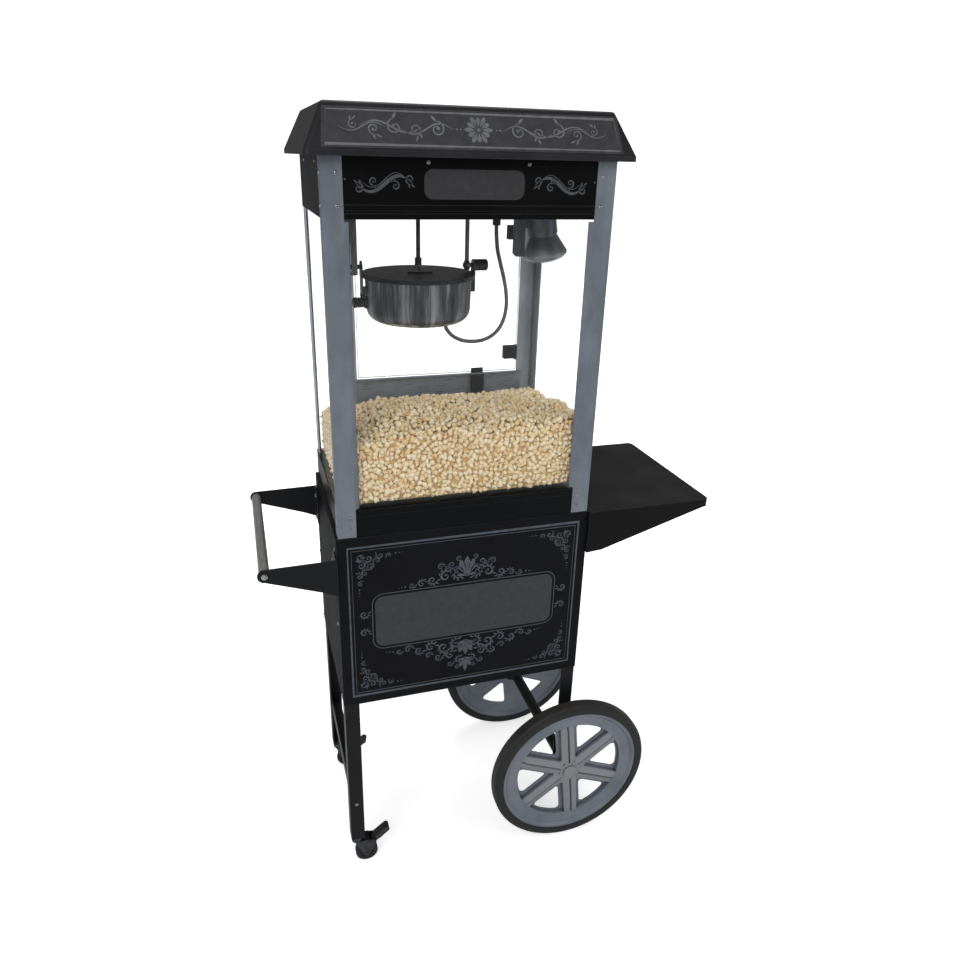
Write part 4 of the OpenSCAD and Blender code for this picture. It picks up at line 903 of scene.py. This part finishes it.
corner, right, up = widest_slope("roof", (0, -1, 0))
roof_low, roof_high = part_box("roof")
mid = corner + right * (CAB_X - corner.x) + up * ((roof_low.z + roof_high.z) / 2 + 0.003 - corner.z) / up.z
field = PrintedSheet(mid, right, up)
field.blot([(-250.5, -33), (250.5, -33), (244, 30.5), (-244, 30.5)])
field.dry("roof_printed_field", print_ink("roof_field_ink", rgb(42, 42, 44), rgb(53, 53, 55)))
sign = PrintedSheet(mid + right.cross(up) * 0.0002, right, up)
sign.stroke([(-244, -28), (244, -28), (238, 25.5), (-238, 25.5)], [2.1] * 4, closed=True)
for s in (-1, 1):
    beside = mirrored(s)
    for x0, x1, y, rise, fat in ((42, 128, -1, 9, 2.4), (92, 190, 1, -9, 2.2), (150, 222, 0, 7, 1.6)):
        wave(sign, x0, x1, y, rise, fat, beside)
    for x, y, r, deg, way, n in ((68, -1, 13, 90, 1, 1), (103, -3, 10, 250, -1, 2), (135, 1, 13, 80, -1, 1),
                                 (168, -3, 10, 250, 1, 2), (199, 3, 8, 90, -1, 2)):
        vine(sign, x, y, r, deg, way, beside, n, 0.1)
    sign.dot((s * 36, 0), 1.8)
    sign.dot((s * 30, 0), 1.3)
for k in range(12):
    a = k * pi / 6
    sign.leaf((4 * cos(a), 4 * sin(a)), a, 17 if k % 2 else 20, 7.5, 1.6, 1)
sign.dot((0, 0), 3)
sign.dry("roof_ornament", print_ink("roof_sign_ink", rgb(78, 79, 81), rgb(96, 97, 99)))

# ---- Drive, hangers and kettle ---------------------------
# Deep-drawn steel pot, used and heat-tinted, with vertical polishing streaks and a painted, broken
# highlight along its bottom seam; blackened lid and flap; zinc hangers and shaft; phenolic grips.

paint(dark_zinc, "drive_motor", "drive_shaft")
bracket_metal = ground_metal("bracket_metal", rgb(74, 81, 88), rgb(100, 108, 115), "z", 0.4, metallic=0.4,
                             streaks=24, coarse=8)
paint(bracket_metal, "lamp_bracket")
hanger_metal = ground_metal("hanger_metal", rgb(84, 86, 88), rgb(122, 124, 127), "z", 0.36,
                            streaks=30, coarse=5)
paint(hanger_metal, "kettle_hangers")
paint(inner_steel, "stirrer")

pot_low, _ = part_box("kettle_pot")
KETTLE = at(-57, 0, 0)
SEAM_Z = pot_low.z + 0.0135
pot_finish, tree, place, shader = new_finish("kettle_steel")
x, y, z = parted(tree, place)
turn = calc(tree, "ARCTAN2", calc(tree, "SUBTRACT", x, KETTLE.x), y)
ring = wire(tree, "ShaderNodeMapping", Vector=joined(tree, turn, z), Scale=(1, 0.8, 1))
streaks = cloud(tree, ring, 4.6, 4, Roughness=0.7)
tone = colour_ramp(tree, streaks, (0.36, rgb(34, 38, 42)), (0.5, rgb(76, 80, 84)), (0.66, rgb(140, 143, 146)))
heat, burnt = mottle(tree, place, 11, 4, (0.82, 0.84, 0.88, 1), (1, 0.97, 0.93, 1))
tone = blend(tree, 0.9, tone, heat, "MULTIPLY")
# Painted highlight: a broken bright line along the rolled bottom seam.
seam = calc(tree, "ABSOLUTE", calc(tree, "SUBTRACT", z, SEAM_Z))
highlight_breaks = ranged(tree, cloud(tree, place, 55, 3), 0.44, 0.6, 0.1, 1.0)
seam_highlight = calc(tree, "MULTIPLY", ranged(tree, seam, 0.0008, 0.0028, 1.0, 0.0), highlight_breaks)
plug(shader, Base_Color=blend(tree, seam_highlight, tone, rgb(206, 209, 211)), Metallic=0.75,
     Roughness=spread(tree, burnt, 0.26, 0.48),
     Normal=relief(tree, streaks, 0.12, 0.0004, Normal=rounded(tree, 0.001)))
paint(pot_finish, "kettle_pot")

lid_finish = ground_metal("lid_steel", rgb(7, 9, 10), rgb(15, 17, 19), "x", 0.42, metallic=0.5,
                          streaks=20, coarse=9)
paint(lid_finish, "kettle_lid", "lid_flap")
grip_plastic = moulded("grip_plastic", rgb(18, 18, 19), rgb(32, 32, 33), 0.38, scale=50)
paint(grip_plastic, "kettle_grips")

RIVET_REACH, RIVET_Z, RIVET_HEAD = 0.0999, pot_low.z + 0.041, (0.0028, 0.0013)
rivets = []
for deg in (14, 26, 154, 166):
    a = radians(deg)
    out = Vector((cos(a), sin(a), 0))
    rivets.append((KETTLE + out * RIVET_REACH + Vector((0, 0, RIVET_Z)), out))
screw_set("kettle_screws", "kettle", "bright_steel", rivets, *RIVET_HEAD, zinc)

# ---- Heat lamp -------------------------------------------
# Grey satin reflector lamp under its cup, the domed face a little lighter.

lamp_low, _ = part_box("heat_lamp")
lamp_finish, tree, place, shader = new_finish("lamp_glass")
face = ranged(tree, parted(tree, place)["Z"], lamp_low.z + 0.012, lamp_low.z + 0.034, 1.0, 0.0, "SMOOTHSTEP")
colour, fac = mottle(tree, place, 24, 4, rgb(74, 79, 85), rgb(94, 98, 103))
plug(shader, Base_Color=blend(tree, face, colour, rgb(128, 134, 139)), Roughness=spread(tree, fac, 0.24, 0.4),
     Metallic=0.35)
paint(lamp_finish, "heat_lamp")

# ---- Switches and gland ----------------------------------
# Three rocker switches and the cable gland at the rear, in black plastic.

paint(fitting_plastic, "switch_housings")
rocker_plastic = moulded("rocker_plastic", rgb(22, 22, 23), rgb(34, 34, 35), 0.3, scale=60)
paint(rocker_plastic, "switch_heat", "switch_motor", "switch_light")

# ---- Popcorn ---------------------------------------------
# A heap of butterfly flakes behind the panes. A plain core in a darker tone, painted shade for the depths
# between flakes, fills the gaps; over it one generator scatters puffed flakes of five shapes, creamy on the
# lobes, amber in the folds, the amber partly painted shade in the creases.

FLAKE_SHAPES = 5
MOST_FLAKES = 60000.0           # per square metre, before the spacing thins them
FLAKE_SMALLEST, FLAKE_LARGEST = 0.0066, 0.0088


def draw(tree, low, high, seed):
    """A random number for each flake."""
    made = wire(tree, "FunctionNodeRandomValue", {"data_type": "FLOAT"}, i2=low, i3=high, Seed=seed)
    return made.outputs[1]


def flake_generator():
    """Puffed flakes scattered over a surface."""
    tree, given = open_tree("popcorn_flakes", (
        ("Surface", "Geometry"), ("Spacing", "Float"), ("Smallest", "Float"), ("Largest", "Float"),
        ("Lift", "Float"), ("Seed", "Int"), ("Flake finish", "Material")), "Flakes")
    spots = wire(tree, "GeometryNodeDistributePointsOnFaces", {"distribute_method": "POISSON"},
                 Mesh=given["Surface"], Distance_Min=given["Spacing"], Density_Max=MOST_FLAKES,
                 Seed=given["Seed"])
    shapes = wire(tree, "GeometryNodeJoinGeometry")
    for k in range(FLAKE_SHAPES):
        ball = wire(tree, "GeometryNodeMeshIcoSphere", Radius=1.0, Subdivisions=2)
        where = wire(tree, "GeometryNodeInputPosition")
        shifted = wire(tree, "ShaderNodeVectorMath", {"operation": "ADD"}, i0=where,
                       i1=(3.7 * k + 0.4, 1.9 * k, 2.3 * k))
        cells = wire(tree, "ShaderNodeTexVoronoi", Vector=shifted, Scale=1.15, Randomness=0.9)
        fold = ranged(tree, cells, 0.15, 0.8, 0.0, 1.0)
        moved = wire(tree, "ShaderNodeVectorMath", {"operation": "SCALE"}, i0=where,
                     Scale=spread(tree, fold, 1.12, 0.42))
        lumpy = wire(tree, "GeometryNodeSetPosition", Geometry=ball, Position=moved)
        marked = wire(tree, "GeometryNodeStoreNamedAttribute", {"data_type": "FLOAT", "domain": "POINT"},
                      Geometry=lumpy, Name="fold", Value=fold)
        soft = wire(tree, "GeometryNodeSetShadeSmooth", Geometry=marked)
        plug(shapes, i0=wire(tree, "GeometryNodeGeometryToInstance", Geometry=soft))
    spin = wire(tree, "FunctionNodeRandomValue", {"data_type": "FLOAT_VECTOR"},
                i0=(0, 0, 0), i1=(6.28, 6.28, 6.28), Seed=given["Seed"])
    grow = draw(tree, given["Smallest"], given["Largest"], given["Seed"])
    off = wire(tree, "ShaderNodeVectorMath", {"operation": "SCALE"}, i0=spots.outputs["Normal"],
               Scale=draw(tree, -0.0015, given["Lift"], 3))
    raised = wire(tree, "GeometryNodeSetPosition", Geometry=spots, Offset=off)
    placed = wire(tree, "GeometryNodeInstanceOnPoints", Points=raised, Instance=shapes,
                  Pick_Instance=True, Rotation=spin, Scale=grow)
    toned = wire(tree, "GeometryNodeStoreNamedAttribute", {"data_type": "FLOAT", "domain": "INSTANCE"},
                 Geometry=placed, Name="tone", Value=draw(tree, 0.0, 1.0, 11))
    return close_tree(tree, toned, given["Flake finish"])


flakes_tree = flake_generator()
flake_finish, tree, place, shader = new_finish("popcorn_flake")
fold = wire(tree, "ShaderNodeAttribute", {"attribute_name": "fold"}).outputs["Fac"]
tone = wire(tree, "ShaderNodeAttribute", {"attribute_name": "tone"}).outputs["Fac"]
coat = colour_ramp(tree, tone, (0, rgb(222, 211, 184)), (0.55, rgb(218, 200, 162)), (1, rgb(208, 183, 138)))
fleck = cloud(tree, place, 260, 3, Roughness=0.6)
# Partly painted shade: the deeper a fold, the more the cream turns amber, the popcorn's own tone deepened as
# shade in its creases.
depth = calc(tree, "ADD", calc(tree, "MULTIPLY_ADD", fleck, 0.9, -0.45), fold)
coat = blend(tree, ranged(tree, depth, 0.56, 1.12, 0.0, 0.8, "SMOOTHSTEP"), coat, rgb(178, 122, 50))
hull = ranged(tree, cloud(tree, place, 140, 2), 0.6, 0.68, 0.0, 0.75)
plug(shader, Base_Color=blend(tree, hull, coat, rgb(186, 130, 56)), Roughness=0.72, Specular_IOR_Level=0.25,
     Normal=relief(tree, fleck, 0.5, 0.001))

# the heap's section as (y, z), in millimetres
HEAP_PROFILE = [(-153, 1014), (-105, 1026), (-60, 1032), (-10, 1032), (30, 1022), (70, 1009), (120, 993),
                (146, 984)]
HEAP_X, HEAP_FRONT, HEAP_REAR, HEAP_FLOOR = 234, -152, 148, 894
CORE_INSET = 4
XS = [HEAP_X * (2 * i / 46 - 1) for i in range(47)]
YS = [HEAP_FRONT + (HEAP_REAR - HEAP_FRONT) * i / 30 for i in range(31)]


def heap_height(x, y):
    """Height of the heap's crown in millimetres."""
    for (y0, z0), (y1, z1) in zip(HEAP_PROFILE, HEAP_PROFILE[1:]):
        if y <= y1:
            break
    z = z0 + (z1 - z0) * (y - y0) / (y1 - y0)
    hill = noise.noise(Vector((x / 80, y / 80, 0.3))) * 11 + noise.noise(Vector((x / 30, y / 30, 2.1))) * 6
    # banked up against the right pane, slumped at the left one
    for side, at_pane in ((1, 1028 - 0.1 * (y + 152)), (-1, z - 13)):
        near = min(1, max(0, (side * x - 130) / 90))
        z += (at_pane - z) * near * near * (3 - 2 * near)
    return z + hill


def sheet_of(name, rows):
    """Open mesh through rows of points in millimetres."""
    bm = bmesh.new()
    grid = [[bm.verts.new(at(*p)) for p in row] for row in rows]
    for a, b in zip(grid, grid[1:]):
        for i in range(len(a) - 1):
            bm.faces.new((a[i], a[i + 1], b[i + 1], b[i]))
    return new_piece(name, bm, smooth=False, outward=False)


def heap_side(name, foot):
    """Steep side of the heap over the points at its foot."""
    return sheet_of(name, [[(x, y, HEAP_FLOOR + t / 4 * (heap_height(x, y) - HEAP_FLOOR)) for x, y in foot]
                           for t in range(5)])


for piece, spacing, seed, lift in (
        (sheet_of("popcorn_top", [[(x, y, heap_height(x, y)) for x in XS] for y in YS]), 0.0078, 5, 0.006),
        (heap_side("popcorn_front", [(x, HEAP_FRONT) for x in XS]), 0.0071, 8, 0.0),
        (heap_side("popcorn_rear", [(x, HEAP_REAR) for x in XS[::-1]]), 0.0078, 34, 0.0),
        (heap_side("popcorn_left", [(-HEAP_X, y) for y in YS[::-1]]), 0.0074, 13, 0.0),
        (heap_side("popcorn_right", [(HEAP_X, y) for y in YS]), 0.0074, 21, 0.0)):
    run_generator(piece, flakes_tree, Spacing=spacing, Smallest=FLAKE_SMALLEST, Largest=FLAKE_LARGEST,
                  Lift=lift, Seed=seed, Flake_finish=flake_finish)
    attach(piece, CART)

bm = bmesh.new()
top, low = ([[bm.verts.new(at(x * 0.99, y * 0.985, (heap_height(x, y) if crown else HEAP_FLOOR) - CORE_INSET))
              for x in XS] for y in YS] for crown in (True, False))
for grid, turned in ((top, False), (low, True)):
    for a, b in zip(grid, grid[1:]):
        for i in range(len(XS) - 1):
            q = (a[i], a[i + 1], b[i + 1], b[i])
            bm.faces.new(q[::-1] if turned else q)
rim = ([(0, i) for i in range(len(XS))] + [(j, len(XS) - 1) for j in range(1, len(YS))]
       + [(len(YS) - 1, i) for i in range(len(XS) - 2, -1, -1)] + [(j, 0) for j in range(len(YS) - 2, 0, -1)])
for (j, i), (n, m) in zip(rim, rim[1:] + rim[:1]):
    bm.faces.new((low[j][i], low[n][m], top[n][m], top[j][i]))
# Painted shade: the core is darker than the flakes so that the gaps between them read as shaded depth.
core_shade_finish, tree, place, shader = new_finish("popcorn_core")
colour, _ = mottle(tree, place, 120, 4, rgb(186, 146, 92), rgb(212, 178, 126))
plug(shader, Base_Color=colour, Roughness=0.9)
core = new_piece("popcorn_core", bm, core_shade_finish, smooth=False)
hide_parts("popcorn_heap")
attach(core, CART)
